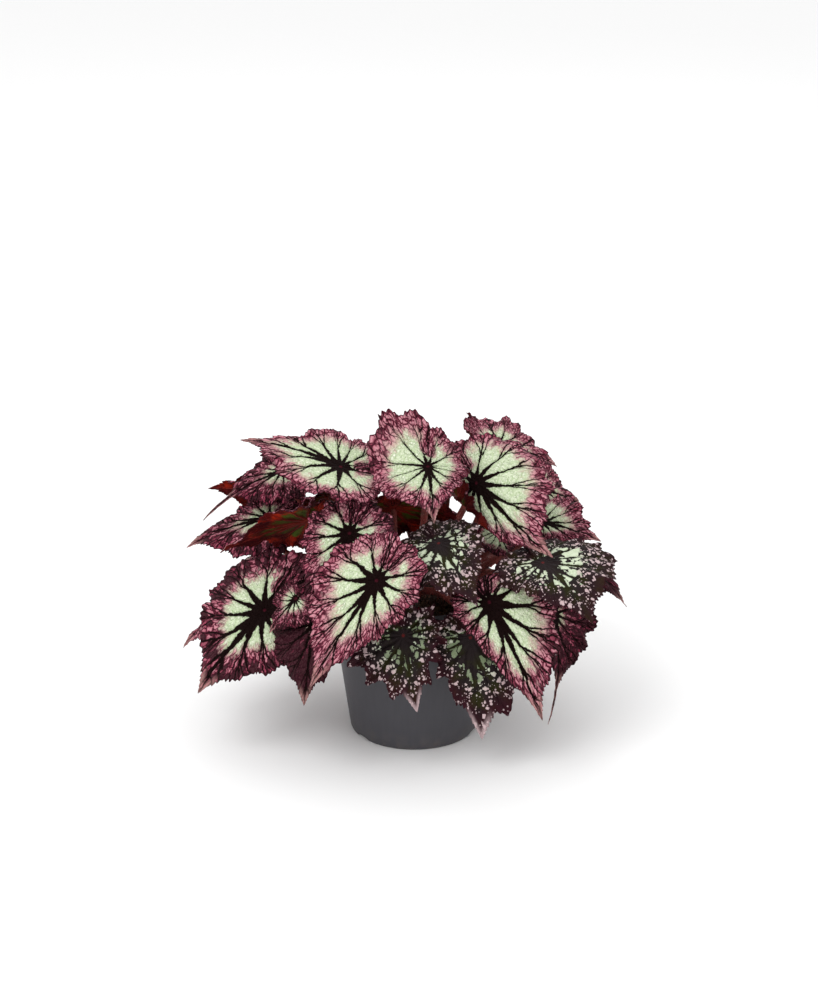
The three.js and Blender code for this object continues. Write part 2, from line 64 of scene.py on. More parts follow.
# ---- the leaf's outline, seen flat: [degrees from the midrib, reach as a share of its length] ----
HALF_MARGIN = np.array(
    [
        [0, 1.0], [3, 0.87], [8, 0.76], [16, 0.69], [28, 0.58], [40, 0.57], [54, 0.5], [68, 0.515],
        [83, 0.455], [98, 0.475], [114, 0.42], [131, 0.44], [148, 0.39], [163, 0.4], [176, 0.34],
    ]
)
LAST_PLACE = len(HALF_MARGIN) - 1
COLUMNS_A_PLACE = 13
CLEFT_BAND = 0.34  # breadth of the coloured margin along the cleft, as a share of the midrib
TEETH_FROM = 0.86  # share of the way out at which the fine teeth start
RINGS = np.concatenate([np.linspace(0.05, TEETH_FROM, 17), [0.9, 0.93, 0.955, 0.98, 1.0]])
LAP_FROM = 148  # degrees from the midrib from which the heel lobes reach on, one over the other
LAP_TURN = 10  # how much further round their edges come
LAP_RISE = 1.0  # how far they lie above and below each other

# ---- the margin's teeth: lengths are shares of the reach ----
TEETH_A_PLACE = 3
TOOTH_DEPTH = 0.06
TOOTH_SIZES = (0.35, 1.0)  # of the smallest and the largest tooth
TOOTH_SHOULDER = 0.35  # how much of a tooth lies inside the outline
TOOTH_RISE = 0.6  # the longer side of a tooth, as a share of its breadth
TIP_PLACES = 1.5  # places beside the leaf's point over which the teeth grow
JAG_FROM = 0.6  # share of the way out at which the lobes between the veins start

# ---- the main veins, which run from the stalk to the large teeth ----
VEIN_ANGLES = np.array([0, 16, 40, 68, 98, 131, 163, 182])
VEIN_NUMBERS = np.array([0, 1, 2, 3, 4, 5, 6, 6.6])
LAST_NUMBER = 6.42  # the vein number at the cleft's edges
PATTERN_STEP = 37.0  # how far apart the patterns of two leaves are taken
DEPTH_A_SHARE = 7  # how far patterns shift from the stalk to the margin, so that none run along it
VEIN_HUG = np.array([0, 0.8, 0.38, 0.16, 0.05, 0, 0, 0])  # how close to the midrib a vein starts

# ---- how a blade curves ----
HALF_WIDTH = 0.5  # how far out a half's fold angle is reached, as a share of the midrib
HEEL_REACH = 0.4  # how far back the lift angle is reached, as a share of the midrib
FULL_TO = 130  # degrees from the midrib at which the larger half has narrowed again
TAIL_BREADTH = 0.9  # degrees from the midrib over which a tail draws out the point
SCROLL_RADIUS = 2.6  # of a scroll's roll
SCROLL_TURN = math.radians(200)  # how far round it goes
RIPPLE_WAVES = 5
RIPPLE_TURN = 47  # degrees by which the waves of each leaf are turned from the last one's
RIPPLE_FROM = 25  # degrees from the tip at which the waves have reached their full height
RUFFLE_WAVES = 17
RUFFLE_FROM = 12  # degrees from the tip at which the ruffles have reached their full height
RUFFLE_STRAY = 2.5  # how far the ruffles stray from even waves, in radians
UNEVEN = 34  # breadth of the dents that make the ruffles uneven
RIM_DROOP = 0.5  # how far the rim turns down, as a share of the ruffles' height
RIM_THINNING = 0.55  # how much thinner the rim is than the middle
CENTRE_DIP = 0.6  # how far the middle lies below the grid round it, as a share of the quilting
USUAL_LENGTH = 78  # length of a blade whose veins are as broad as the settings say

# ---- the quilted relief ----
GROOVE = 1.4  # half the breadth of the groove along a vein
QUILT_ROWS = 7  # pillows in a row between two veins
QUILT_SLANT = 3.0
QUILT_SHIFT = 0.15  # by which the pillows of each row lie further out than those of the last
QUILT_FULL = 9  # distance between veins from which the pillows have their full height
QUILT_MIDDLE = 0.55  # the share of a pillow's height that lies below the blade's middle surface
DENTS = [(0.35, 6.5), (0.25, 3.5)]  # height and breadth of the finer dents

# ---- the leaves ----
# at: where the blade sits on its stalk; tip: the leaf's point; face: compass angle and rise of the
# direction that its upper side looks in. Its form: bend, how far the midrib curves down; fold, how far
# each half turns down; lift, how far the heel turns up; wide, its breadth, and heel, the length of
# its lobes, as shares of the usual; fuller, how much larger the left half is; tail, how much longer its
# point is; skew and drift, how far the heel turns and slides sideways; scroll, where a half starts to
# roll up, as a share of the midrib and negative for the right half; ripple, the height of its waves;
# jag, that of the lobes between its veins. Its stalk: over, the height that it climbs to; root, where
# it starts. Its colours: dark, for the speckled leaves; pale, share of the way out that the silver zone
# reaches; veins, how broad the dark veins are; maroon_and_shade, how much maroon the margin holds, which
# on leaves that sit in shade is partly painted shade: darker margins, and fewer, darker silver patches.
LEAF_DEFAULTS = dict(
    fold=15, lift=6, wide=1, heel=1, fuller=0.08, tail=0, skew=0, drift=0, scroll=0, ripple=2.2,
    over=None, root=None, dark=False, pale=0.7, veins=1.0, maroon_and_shade=0.4, jag=0.025,
)
BACK = dict(bend=35, fold=18)
LOW = dict(bend=30, fold=18, heel=0.8)
LEAVES = {
    "leaf_01_top_left": dict(
        at=(-48, -25, 199), tip=(-116, 0, 209), face=(-85, 74), bend=25, fold=-5, fuller=0.05,
        heel=1.1, skew=35, pale=0.8, maroon_and_shade=0.25,
    ),
    "leaf_02_top_centre": dict(
        at=(9, -41, 205), tip=(13, -69, 178), face=(-86, 44), bend=50, fold=16, wide=1.7, heel=2.25,
        fuller=-0.18, lift=40, tail=0.06, skew=-38, drift=0.35, root=(2, 6, 94), pale=0.74, maroon_and_shade=0.25,
    ),
    "leaf_03_top_right": dict(
        at=(41, -16, 184), tip=(90, -64, 150), face=(-108, 12), bend=25, fold=64, wide=1.08,
        heel=1.05, fuller=0.26, lift=20, scroll=-0.17, pale=0.8, maroon_and_shade=0.3,
    ),
    "leaf_04_back_right": dict(
        at=(58, 62, 182), tip=(101, 77, 162), face=(-75, 58), bend=40, fold=14, wide=1.15, heel=1.6,
        fuller=0.1, lift=50, pale=0.6, maroon_and_shade=0.3,
    ),
    "leaf_05_right_upper": dict(
        at=(83, 34, 162), tip=(117, 54, 141), face=(-40, 42), bend=30, fold=16, wide=1.3, heel=0.55,
        fuller=0.1, pale=0.6, maroon_and_shade=0.6,
    ),
    "leaf_06_right_middle": dict(
        at=(86, 5, 148), tip=(127, 0, 136), face=(-55, 46), bend=30, fold=20, wide=1.25, heel=0.75,
        fuller=0.3, pale=0.62, maroon_and_shade=0.4,
    ),
    "leaf_07_centre_dark": dict(
        at=(16, -50, 155), tip=(41, -98, 130), face=(-86, 40), bend=30, fold=14, wide=1.14,
        heel=1, fuller=-0.12, dark=True,
    ),
    "leaf_08_right_dark": dict(
        at=(84, -59, 145), tip=(115, -101, 119), face=(-72, 38), bend=40, fold=18, wide=1.4,
        heel=1.1, fuller=0.28, dark=True,
    ),
    "leaf_09_front_right": dict(
        at=(49, -74, 123), tip=(84, -98, 49), face=(-74, 24), bend=30, fold=16, wide=0.78, heel=0.5,
        lift=-25, fuller=0.3, over=138, pale=0.78, veins=1.35, maroon_and_shade=0.35,
    ),
    "leaf_10_low_right_dark": dict(
        at=(37, -68, 95), tip=(45, -86, 29), face=(-90, 18), bend=15, fold=14, wide=1.25, heel=0.65,
        fuller=0.3, dark=True, maroon_and_shade=0.9, jag=0.16,
    ),
    "leaf_11_low_centre_dark": dict(
        at=(-7, -78, 101), tip=(2, -98, 55), face=(-96, 24), bend=15, fold=12, wide=1.3, fuller=-0.2,
        dark=True, maroon_and_shade=0.85, jag=0.24,
    ),
    "leaf_12_front_left": dict(
        at=(-24, -90, 145), tip=(-67, -118, 82), face=(-95, 34), bend=25, fold=18, wide=0.84,
        heel=1.04, fuller=-0.16, pale=0.72, maroon_and_shade=0.2,
    ),
    "leaf_13_middle_left": dict(
        at=(-42, -58, 165), tip=(-65, -94, 108), face=(-100, 44), bend=25, fold=16, wide=0.95,
        heel=0.95, fuller=0.06, pale=0.66, maroon_and_shade=0.5,
    ),
    "leaf_14_left_large": dict(
        at=(-99, -50, 107), tip=(-144, -65, 53), face=(-122, 26), bend=25, fold=16, heel=1.55,
        wide=1.3, fuller=-0.06, pale=0.68, veins=1.35, maroon_and_shade=0.85,
    ),
    "leaf_15_low_left": dict(
        at=(-64, -81, 112), tip=(-72, -97, 59), face=(-108, 14), bend=20, fold=30, wide=1.12,
        heel=0.5, fuller=-0.12, pale=0.25, maroon_and_shade=1.3, jag=0.12,
    ),
    "leaf_16_left_small": dict(
        at=(-77, -75, 126), tip=(-95, -79, 103), face=(-126, 30), bend=20, fold=14, wide=1.2,
        heel=0.8, over=146, pale=0.6, maroon_and_shade=0.6,
    ),
    "leaf_17_left_far": dict(
        at=(-116, -10, 96), tip=(-158, -15, 64), face=(-165, 50), bend=30, fold=30, over=142,
    ),
    "leaf_18_left_upper": dict(
        at=(-99, 24, 144), tip=(-157, 24, 122), face=(-140, 58), bend=25, fold=24, wide=1.02,
        pale=0.55, maroon_and_shade=0.7,
    ),
    "leaf_19_left_curled": dict(
        at=(-88, 25, 178), tip=(-130, 12, 160), face=(-125, 58), bend=30, fold=18, wide=1.1,
        tail=0.4, pale=0.5, maroon_and_shade=0.6,
    ),
    "leaf_20_left_back": dict(
        at=(-96, 60, 150), tip=(-143, 50, 156), face=(100, 35), bend=15, fold=10, wide=1.35,
        heel=0.55,
    ),
    "leaf_21_left_inner": dict(
        at=(-70, -14, 157), tip=(-130, -24, 138), face=(140, 30), bend=15, fold=10, wide=1.15,
        heel=0.8, fuller=0.1,
    ),
    "leaf_22_centre_inner": dict(
        at=(-14, 2, 160), tip=(-12, 32, 125), face=(95, 40), bend=20, fold=14, wide=1.45,
        heel=1.2, fuller=-0.5,
    ),
    "leaf_23_right_low_back": dict(
        at=(108, 5, 124), tip=(145, -10, 92), face=(-20, 44), bend=30, fold=20, pale=0.2, maroon_and_shade=1.1,
    ),
    "leaf_24_right_low": dict(
        at=(94, -42, 101), tip=(95, -58, 51), face=(-32, 14), bend=20, fold=-50, wide=1.1,
        fuller=0.15, tail=0.45, pale=0.35, maroon_and_shade=1.0,
    ),
    "leaf_25_back_top": dict(at=(-14, 44, 184), tip=(-34, 96, 168), face=(100, 60), **BACK),
    "leaf_26_back_left_high": dict(
        at=(-66, 91, 148), tip=(-102, 132, 116), face=(128, 55), over=160, **BACK
    ),
    "leaf_27_back_middle": dict(at=(24, 86, 140), tip=(37, 138, 108), face=(77, 52), **BACK),
    "leaf_28_back_right_high": dict(
        at=(80, 74, 132), tip=(120, 110, 100), face=(42, 50), over=148, **BACK
    ),
    "leaf_29_back_low_left": dict(
        at=(-56, 76, 102), tip=(-82, 118, 54), face=(125, 34), over=131, **LOW
    ),
    "leaf_30_back_low": dict(at=(2, 88, 98), tip=(0, 132, 46), face=(92, 34), **LOW),
    "leaf_31_back_low_right": dict(
        at=(66, 68, 96), tip=(100, 102, 46), face=(45, 34), over=137, **LOW
    ),
    "leaf_32_right_lowest": dict(at=(88, 22, 94), tip=(122, 38, 44), face=(18, 30), **LOW),
    "leaf_33_left_lowest": dict(
        at=(-84, 34, 96), tip=(-120, 58, 46), face=(155, 30), bend=30, fold=18, heel=0.45, lift=25,
    ),
    "leaf_34_back_top_right": dict(
        at=(15, 62, 166), tip=(29, 112, 142), face=(75, 58), veins=1.2, **BACK
    ),
    "leaf_35_back_top_left": dict(
        at=(-50, 54, 174), tip=(-74, 106, 148), face=(115, 58), pale=0.7, **BACK
    ),
    "leaf_36_right_back": dict(at=(94, 44, 124), tip=(138, 64, 94), face=(22, 48), bend=30, fold=18),
    "leaf_37_back_centre": dict(
        at=(-31, 84, 135), tip=(-39, 134, 101), face=(102, 48), wide=0.84, maroon_and_shade=0.7, **BACK
    ),
    "leaf_38_left_back_low": dict(
        at=(-96, 58, 112), tip=(-128, 84, 72), face=(146, 44), bend=30, fold=18, over=138,
    ),
    "leaf_39_centre_young": dict(
        at=(56, -4, 144), tip=(65, -27, 132), face=(-70, 45), bend=30, fold=20, wide=1.1, heel=1.2,
        fuller=-0.3, pale=0.8, maroon_and_shade=0.8,
    ),
    "leaf_40_left_centre": dict(
        at=(-56, 8, 167), tip=(-64, 34, 141), face=(110, 42), bend=20, fold=14, wide=1.15, heel=1.2,
    ),
}

# ---- the rhizome and the paths of the stalks ----
RHIZOME_ARMS = [(-100, 34), (-20, 30), (65, 34), (155, 32)]  # compass angle and length
RHIZOME_HEIGHT = 94
RHIZOME_DIP = 3  # how much lower an arm starts than it ends
RHIZOME_CROSS = 4  # how far beyond the pot's axis it starts
RHIZOME_KNUCKLES = [0.6, 1, 0.86, 1.06, 0.88, 1.02, 0.6]  # thickness along an arm
STALK_FOOT = 2.9  # radius of a stalk at the rhizome
STALK_INNERMOST = 6  # how far out the innermost foot stands
STALK_SPREAD = 0.3  # how much further out a foot stands for each millimetre that its leaf does
STALK_LEAN = 0.3  # how far a stalk leans towards its leaf where it leaves the rhizome
STALK_RISE = 0.4  # how far along a stalk's span its first handle lies
STALK_ARRIVE = 0.3  # how far along it the second one lies, from the blade
OVER_RIM = 132  # height that the handles of a low leaf's stalk reach, so that it clears the rim
AIM_DROP = 15  # how much lower the second handle may lie
STALK_POINTS = 26
STALK_SHORT = 0.5  # how far under the middle of its blade a stalk ends, on the side that reaches up
STALK_POINTED = 0.6  # how thick the very end of a stalk is, as a share of what it is just before


def whole_leaves():
    """The node and the full row of each leaf."""
    for number, (node, row) in enumerate(LEAVES.items()):
        yield node, {**LEAF_DEFAULTS, **row, "number": number, "turn": number * RIPPLE_TURN}


def compass_point(degrees, radius, height):
    angle = math.radians(degrees)
    return np.array([math.cos(angle) * radius, math.sin(angle) * radius, height])


def unit(vector):
    return vector / np.linalg.norm(vector)


def ramp(value, low, high=1):
    """0 up to low and 1 from high on, straight between them."""
    return np.clip((value - low) / (high - low), 0, 1)


def smooth_step(value, low, high):
    """0 up to low and 1 from high on, smooth between them."""
    t = ramp(value, low, high)
    return t * t * (3 - 2 * t)


def crumple(x, y, size, rng):
    """A smooth random height between -1 and 1, with dents of about the given size."""
    total = np.zeros_like(x)
    waves = 6
    for turn, phase, stretch in rng.uniform((0, 0, 0.7), (math.tau, math.tau, 1.4), (waves, 3)):
        along = x * math.cos(turn) + y * math.sin(turn)
        total += np.sin(along * math.tau / (size * stretch) + phase)
    return total / waves


# ---- a blade's form ----
def margin_at(places):
    """Degrees from the midrib and reach at places along the margin, smooth between its points."""
    ends = 2 * HALF_MARGIN[0] - HALF_MARGIN[1], 2 * HALF_MARGIN[-1] - HALF_MARGIN[-2]
    knots = np.vstack([ends[0], HALF_MARGIN, ends[1]])
    along = np.abs(places)
    i = np.minimum(along.astype(int), LAST_PLACE - 1)
    t = (along - i)[:, None]
    a, b, c, d = knots[i], knots[i + 1], knots[i + 2], knots[i + 3]
    curve = b + t * (c - a + t * (2 * a - 5 * b + 4 * c - d + t * (3 * (b - c) + d - a))) / 2
    return curve[:, 0] * np.sign(places), curve[:, 1]


def axes_of(leaf):
    """Where the blade sits, its directions along, left and up, and the distance to its point."""
    at, tip = np.array(leaf["at"], float), np.array(leaf["tip"], float)
    along = unit(tip - at)
    compass, rise = leaf["face"]
    facing = compass_point(compass, math.cos(math.radians(rise)), math.sin(math.radians(rise)))
    left = unit(np.cross(facing, along))
    return at, along, left, np.cross(along, left), float(np.linalg.norm(tip - at))


def bent(leaf, degrees, reach, share):
    """Points on the middle of the blade, and their places on it when it lies flat."""
    at, along, left, up, chord = axes_of(leaf)
    bend = math.radians(leaf["bend"])
    length = chord * bend / 2 / math.sin(bend / 2)
    apart = np.abs(degrees)
    fullness = np.sin(np.radians(180 * np.minimum(apart, FULL_TO) / FULL_TO))
    lobe = 1 + np.where(degrees < 0, -1, 1) * leaf["fuller"] * fullness
    tail = 1 + leaf["tail"] * np.exp(-((apart / TAIL_BREADTH) ** 2))
    out = reach * length * share * lobe * tail
    lap = np.sign(degrees) * ramp(apart, LAP_FROM, 180) ** 2
    askew = np.radians(degrees + leaf["skew"] * (apart / 180) ** 2 + LAP_TURN * lap)
    x = out * np.cos(askew) * np.where(np.cos(askew) < 0, leaf["heel"], 1)
    y = out * np.sin(askew) * leaf["wide"] + leaf["drift"] * np.minimum(0, x)

    radius = length / bend
    start = bend / 2
    lifted = -x * math.radians(leaf["lift"]) / (HEEL_REACH * length)
    sweep = np.where(x > 0, x / radius, lifted)
    turned = start - sweep
    middle = start - sweep / 2
    forward = np.where(x > 0, radius * (math.sin(start) - np.sin(turned)), x * np.cos(middle))
    rise = np.where(x > 0, radius * (np.cos(turned) - math.cos(start)), x * np.sin(middle))

    # what lies beyond the start of a scroll runs round it, and then straight on
    side = np.sign(y)
    scrolled = side * leaf["scroll"] > 0
    beyond = np.where(scrolled, np.maximum(0, np.abs(y) - abs(leaf["scroll"]) * length), 0)
    roll = math.radians(leaf["fold"]) / (HALF_WIDTH * length)
    curl = roll * (y - side * beyond)
    scroll_turn = np.minimum(beyond / SCROLL_RADIUS, SCROLL_TURN)
    straight_on = beyond - scroll_turn * SCROLL_RADIUS
    outward = SCROLL_RADIUS * np.sin(scroll_turn) + straight_on * np.cos(scroll_turn)
    above = SCROLL_RADIUS * (1 - np.cos(scroll_turn)) + straight_on * np.sin(scroll_turn)
    lean = side * curl
    across = np.sin(curl) / roll + side * (outward * np.cos(lean) + above * np.sin(lean))
    bow = (1 - np.cos(curl)) / roll + outward * np.sin(lean) - above * np.cos(lean)

    waving = np.sin(np.radians(degrees * RIPPLE_WAVES + leaf["turn"]))
    wave = leaf["ripple"] * share**3 * waving * np.minimum(1, apart / RIPPLE_FROM)
    height = (wave - bow + LAP_RISE * lap * share)[..., None]
    tangent_up = -np.sin(turned)[..., None] * along + np.cos(turned)[..., None] * up
    points = (
        at
        + forward[..., None] * along
        + rise[..., None] * up
        + across[..., None] * left
        + tangent_up * height
    )
    return points, x, y


def grid_normals(points):
    """Unit normals of a grid of points, rings by columns, on the blade's upper side."""
    outward = np.gradient(points, axis=0)
    sideways = np.gradient(points, axis=1)
    normals = np.cross(outward, sideways)
    return normals / np.maximum(np.linalg.norm(normals, axis=-1, keepdims=True), 1e-9)


def vein_places(degrees, shares):
    """The vein number at each grid point, and the angle to the next vein there."""
    numbers = np.empty_like(degrees)
    gaps = np.empty_like(degrees)
    for ring, share in enumerate(shares[:, 0]):
        angles = VEIN_ANGLES * (1 - VEIN_HUG * (1 - share) ** 1.5)
        apart = np.abs(degrees[ring])
        numbers[ring] = np.sign(degrees[ring]) * np.interp(apart, angles, VEIN_NUMBERS)
        middles = (angles[1:] + angles[:-1]) / 2
        gaps[ring] = np.interp(apart, middles, np.diff(angles) / np.diff(VEIN_NUMBERS))
    return numbers, np.radians(gaps)


class Blade:
    """One blade's fine grid: its two faces, and what its colours need to know at each point."""

    def __init__(self, leaf, settings):
        rng = np.random.default_rng(leaf["number"])
        places = np.linspace(-LAST_PLACE, LAST_PLACE, 2 * LAST_PLACE * COLUMNS_A_PLACE + 1)
        degrees, reach = margin_at(places)
        degrees, share = np.meshgrid(degrees, RINGS)
        number, gap = vein_places(degrees, share)
        lobes = (1 - 2 * np.abs(number - np.round(number))) ** 1.3 - 0.5
        lobes *= leaf["jag"] * ramp(share, JAG_FROM) ** 2 * ramp(np.abs(number), 0)
        reach = reach * (1 + lobes + self.teeth(places, rng) * ramp(share, TEETH_FROM) ** 1.5)
        points, x, y = bent(leaf, degrees, reach, share)
        spacing = np.hypot(x, y) * gap
        height = self.puckers(number, share, spacing, x, y, settings, rng)
        height += self.ruffles(leaf, degrees, share, x, y, settings, rng)
        points = points + grid_normals(points) * height[..., None]
        normals = grid_normals(points)
        half = settings.blade_thickness / MM / 2 * (1 - RIM_THINNING * share[..., None] ** 4)
        centre = bent(leaf, np.zeros(1), np.ones(1), np.zeros(1))[0][0]
        self.normal = unit(normals[0].mean(axis=0))
        self.centre = centre - self.normal * settings.pucker / MM * CENTRE_DIP
        self.sides = []
        for side in (1, -1):
            middle = self.centre + side * self.normal * half.max()
            self.sides.append(np.vstack([middle, (points + side * normals * half).reshape(-1, 3)]))
        self.columns = len(places)
        self.length = axes_of(leaf)[-1]
        inside = 1 - (LAST_NUMBER - np.abs(number)) * spacing / (CLEFT_BAND * self.length)
        margin = np.maximum(share, inside * smooth_step(share, 0.12, 0.4))
        self.place = self.per_point(number, margin, spacing)
        seed = leaf["number"] * PATTERN_STEP
        self.flat = self.per_point(x, y, seed + DEPTH_A_SHARE * share)
        self.flat[0] = (0, 0, seed)

    @staticmethod
    def per_point(*grids):
        """The grids' values at each point, after those of the blade's middle, which are 0."""
        values = np.stack([g.ravel() for g in grids], axis=1)
        return np.vstack([np.zeros(3), values])

    @staticmethod
    def teeth(places, rng):
        """How far the margin's fine teeth stand out, each a little different."""
        teeth = LAST_PLACE * TEETH_A_PLACE
        along = np.abs(places) * TEETH_A_PLACE + rng.uniform(0, 1)
        sizes = rng.uniform(*TOOTH_SIZES, 2 * teeth + 8)  # a few more than there are teeth
        which = (along + np.where(places < 0, teeth + 2, 0)).astype(int)
        into = along % 1
        shape = np.where(into < TOOTH_RISE, into / TOOTH_RISE, (1 - into) / (1 - TOOTH_RISE))
        grown_up = np.minimum(1, np.abs(places) / TIP_PLACES)
        return TOOTH_DEPTH * (shape * sizes[which] - TOOTH_SHOULDER) * grown_up

    @staticmethod
    def puckers(number, share, spacing, x, y, settings, rng):
        """The height of the quilted relief: low on the veins, raised between them."""
        apart = np.abs(number - np.round(number))
        groove = np.exp(-((apart * spacing / GROOVE) ** 2))
        arch = 1 - (1 - 2 * apart) ** 2
        pillows = QUILT_ROWS * share - QUILT_SLANT * apart + QUILT_SHIFT * np.round(number)
        rows = np.abs(np.sin(math.pi * pillows))
        quilt = (0.5 * arch + 0.5 - 0.5 * groove) * (0.55 + 0.45 * rows) * ramp(spacing, 0, QUILT_FULL)
        rough = sum(height * crumple(x, y, size, rng) for height, size in DENTS)
        relief = quilt - QUILT_MIDDLE + rough * smooth_step(share, 0.1, 0.4)
        return settings.pucker / MM * relief

    @staticmethod
    def ruffles(leaf, degrees, share, x, y, settings, rng):
        """The height of the short waves that grow towards the margin."""
        uneven = crumple(x, y, UNEVEN, rng)
        phase = np.radians(degrees * RUFFLE_WAVES + leaf["turn"] * 2) + RUFFLE_STRAY * uneven
        waves = np.sin(phase) * (0.8 + uneven) - RIM_DROOP * share**8
        grown_up = np.minimum(1, np.abs(degrees) / RUFFLE_FROM)
        return settings.ruffle / MM * share**4 * waves * grown_up

    def faces(self):
        """Quads and triangles of both faces and the wall round the rim, all facing out."""
        columns, rings = self.columns, len(RINGS)
        count = len(self.sides[0])
        at = 1 + np.arange(rings * columns).reshape(rings, columns)
        fan = [(0, a, b) for a, b in zip(at[0, :-1], at[0, 1:])]
        quads = np.stack([at[:-1, :-1], at[1:, :-1], at[1:, 1:], at[:-1, 1:]], axis=-1).reshape(-1, 4)
        upper = fan + [tuple(q) for q in quads]
        lower = [tuple(count + i for i in reversed(f)) for f in upper]
        rim = [0, *at[:, 0], *at[-1, 1:], *at[-2::-1, -1]]
        wall = [(a, a + count, b + count, b) for a, b in zip(rim, rim[1:] + rim[:1])]
        return upper, lower, wall


# ---- the stalks' paths ----
def root_of(leaf):
    """The foot of the leaf's stalk, on the rhizome arm that points most its way."""
    if leaf["root"]:
        return np.array(leaf["root"], float)
    x, y, _ = leaf["at"]
    compass = math.degrees(math.atan2(y, x))
    arm, length = max(RHIZOME_ARMS, key=lambda a: math.cos(math.radians(compass - a[0])))
    reach = min(length - STALK_FOOT, STALK_INNERMOST + STALK_SPREAD * math.hypot(x, y))
    return compass_point(arm, reach, RHIZOME_HEIGHT)


def stalk_path(leaf, under, away, end_radius):
    """Points of the curve from the rhizome to just under the middle of a blade."""
    root = root_of(leaf)
    toward = under - root
    span = np.linalg.norm(toward)
    toward[2] = 0
    leave = unit(unit(toward) * STALK_LEAN + (0, 0, 1))
    rising = root + leave * span * STALK_RISE
    arriving = under + away * span * STALK_ARRIVE
    if under[2] < OVER_RIM or leaf["over"]:
        aim = leaf["over"] or OVER_RIM
        beyond = max(0, math.hypot(*arriving[:2]) - RIM_RADIUS)
        rising[2] = max(rising[2], aim)
        arriving[2] = max(arriving[2], aim - AIM_DROP - beyond)
    slant = np.dot(unit(arriving - under), away)
    under = under + away * (STALK_SHORT + end_radius * math.sqrt(max(0, 1 - slant * slant)))
    t = np.linspace(0, 1, STALK_POINTS)[:, None]
    return (
        (1 - t) ** 3 * root
        + 3 * t * (1 - t) ** 2 * rising
        + 3 * t**2 * (1 - t) * arriving
        + t**3 * under
    )


# ---- small helpers for meshes and pieces ----
def collection():
    return bpy.context.scene.collection


def mesh_object(name, points, faces, smooth=True):
    """An object of points in millimetres."""
    mesh = bpy.data.meshes.new(name)
    corners = [list(map(int, face)) for face in faces]
    mesh.from_pydata((np.asarray(points, float) * MM).tolist(), [], corners)
    mesh.update()
    if smooth:
        mesh.shade_smooth()
    made = bpy.data.objects.new(name, mesh)
    collection().objects.link(made)
    return made


def set_vectors(mesh, name, values):
    """Stores a vector for each point of a mesh."""
    attribute = mesh.attributes.new(name, "FLOAT_VECTOR", "POINT")
    attribute.data.foreach_set("vector", np.ascontiguousarray(values, np.float32).ravel())


def finished(made, slot, *nodes):
    """A finished piece rides on the one body, and the nodes that it stands for are hidden."""
    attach(made, BODY)
    if nodes:
        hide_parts(*nodes)


def baked(source, name):
    """A plain mesh object of what source's modifiers give. The source is removed."""
    bpy.context.view_layer.update()
    depsgraph = bpy.context.evaluated_depsgraph_get()
    mesh = bpy.data.meshes.new_from_object(source.evaluated_get(depsgraph), depsgraph=depsgraph)
    mesh.name = name
    made = bpy.data.objects.new(name, mesh)
    bpy.data.objects.remove(source)
    collection().objects.link(made)
    return made


def lathe(profile, sides):
    """Points and faces of a closed profile of (radius, height), which starts and ends on the axis."""
    inner = profile[1:-1]
    turns = np.arange(sides) * math.tau / sides
    rings = [[(r * math.cos(a), r * math.sin(a), z) for a in turns] for r, z in inner]
    points = [(0, 0, profile[0][1]), *[p for ring in rings for p in ring], (0, 0, profile[-1][1])]
    faces = []
    last = len(points) - 1
    for i in range(sides):
        j = (i + 1) % sides
        faces.append((0, 1 + j, 1 + i))
        for k in range(len(inner) - 1):
            low, high = 1 + k * sides, 1 + (k + 1) * sides
            faces.append((low + i, low + j, high + j, high + i))
        top = 1 + (len(inner) - 1) * sides
        faces.append((top + i, top + j, last))
    return points, faces


def outward(made):
    """Turns a closed mesh's faces so that they all point out."""
    work = bmesh.new()
    work.from_mesh(made.data)
    bmesh.ops.recalc_face_normals(work, faces=work.faces)
    work.to_mesh(made.data)
    work.free()


# ---- node trees ----
class Signal:
    """A number on its way through a node tree, with ordinary arithmetic."""

    def __init__(self, tree, socket):
        self.tree = tree
        self.socket = socket

    def math(self, operation, *others):
        node = self.tree.nodes.new("ShaderNodeMath")
        node.operation = operation
        for socket, value in zip(node.inputs, (self, *others)):
            feed(self.tree, socket, value)
        return Signal(self.tree, node.outputs[0])

    def __add__(self, other):
        return self.math("ADD", other)

    def __sub__(self, other):
        return self.math("SUBTRACT", other)

    def __rsub__(self, other):
        return (self * -1) + other

    def __mul__(self, other):
        return self.math("MULTIPLY", other)

    def __truediv__(self, other):
        return self.math("DIVIDE", other)

    def __abs__(self):
        return self.math("ABSOLUTE")

    __radd__, __rmul__ = __add__, __mul__

    def at_least(self, other):
        return self.math("MAXIMUM", other)

    def at_most(self, other):
        return self.math("MINIMUM", other)

    def power(self, other):
        return self.math("POWER", other)

    def rounded(self):
        return self.math("ROUND")

    def sine(self):
        return self.math("SINE")

    def step(self, low, high):
        """0 up to low and 1 from high on, smooth between them. low may be the larger one."""
        node = self.tree.nodes.new("ShaderNodeMapRange")
        node.interpolation_type = "SMOOTHSTEP"
        for name, value in (("Value", self), ("From Min", low), ("From Max", high)):
            feed(self.tree, node.inputs[name], value)
        return Signal(self.tree, node.outputs[0])


def feed(tree, socket, value):
    """Links a signal or a socket to an input, or sets the input to a plain value."""
    if isinstance(value, Signal):
        value = value.socket
    if isinstance(value, bpy.types.NodeSocket):
        tree.links.new(value, socket)
    elif hasattr(value, "__len__") and len(value) == 3 and len(socket.default_value) == 4:
        socket.default_value = (*value, 1)
    else:
        socket.default_value = value


def put(tree, kind, inputs=None, **settings):
    """Adds a node, with its settings and its inputs by name or number."""
    node = tree.nodes.new(kind)
    for key, value in settings.items():
        setattr(node, key, value)
    for key, value in (inputs or {}).items():
        feed(tree, node.inputs[key], value)
    return node


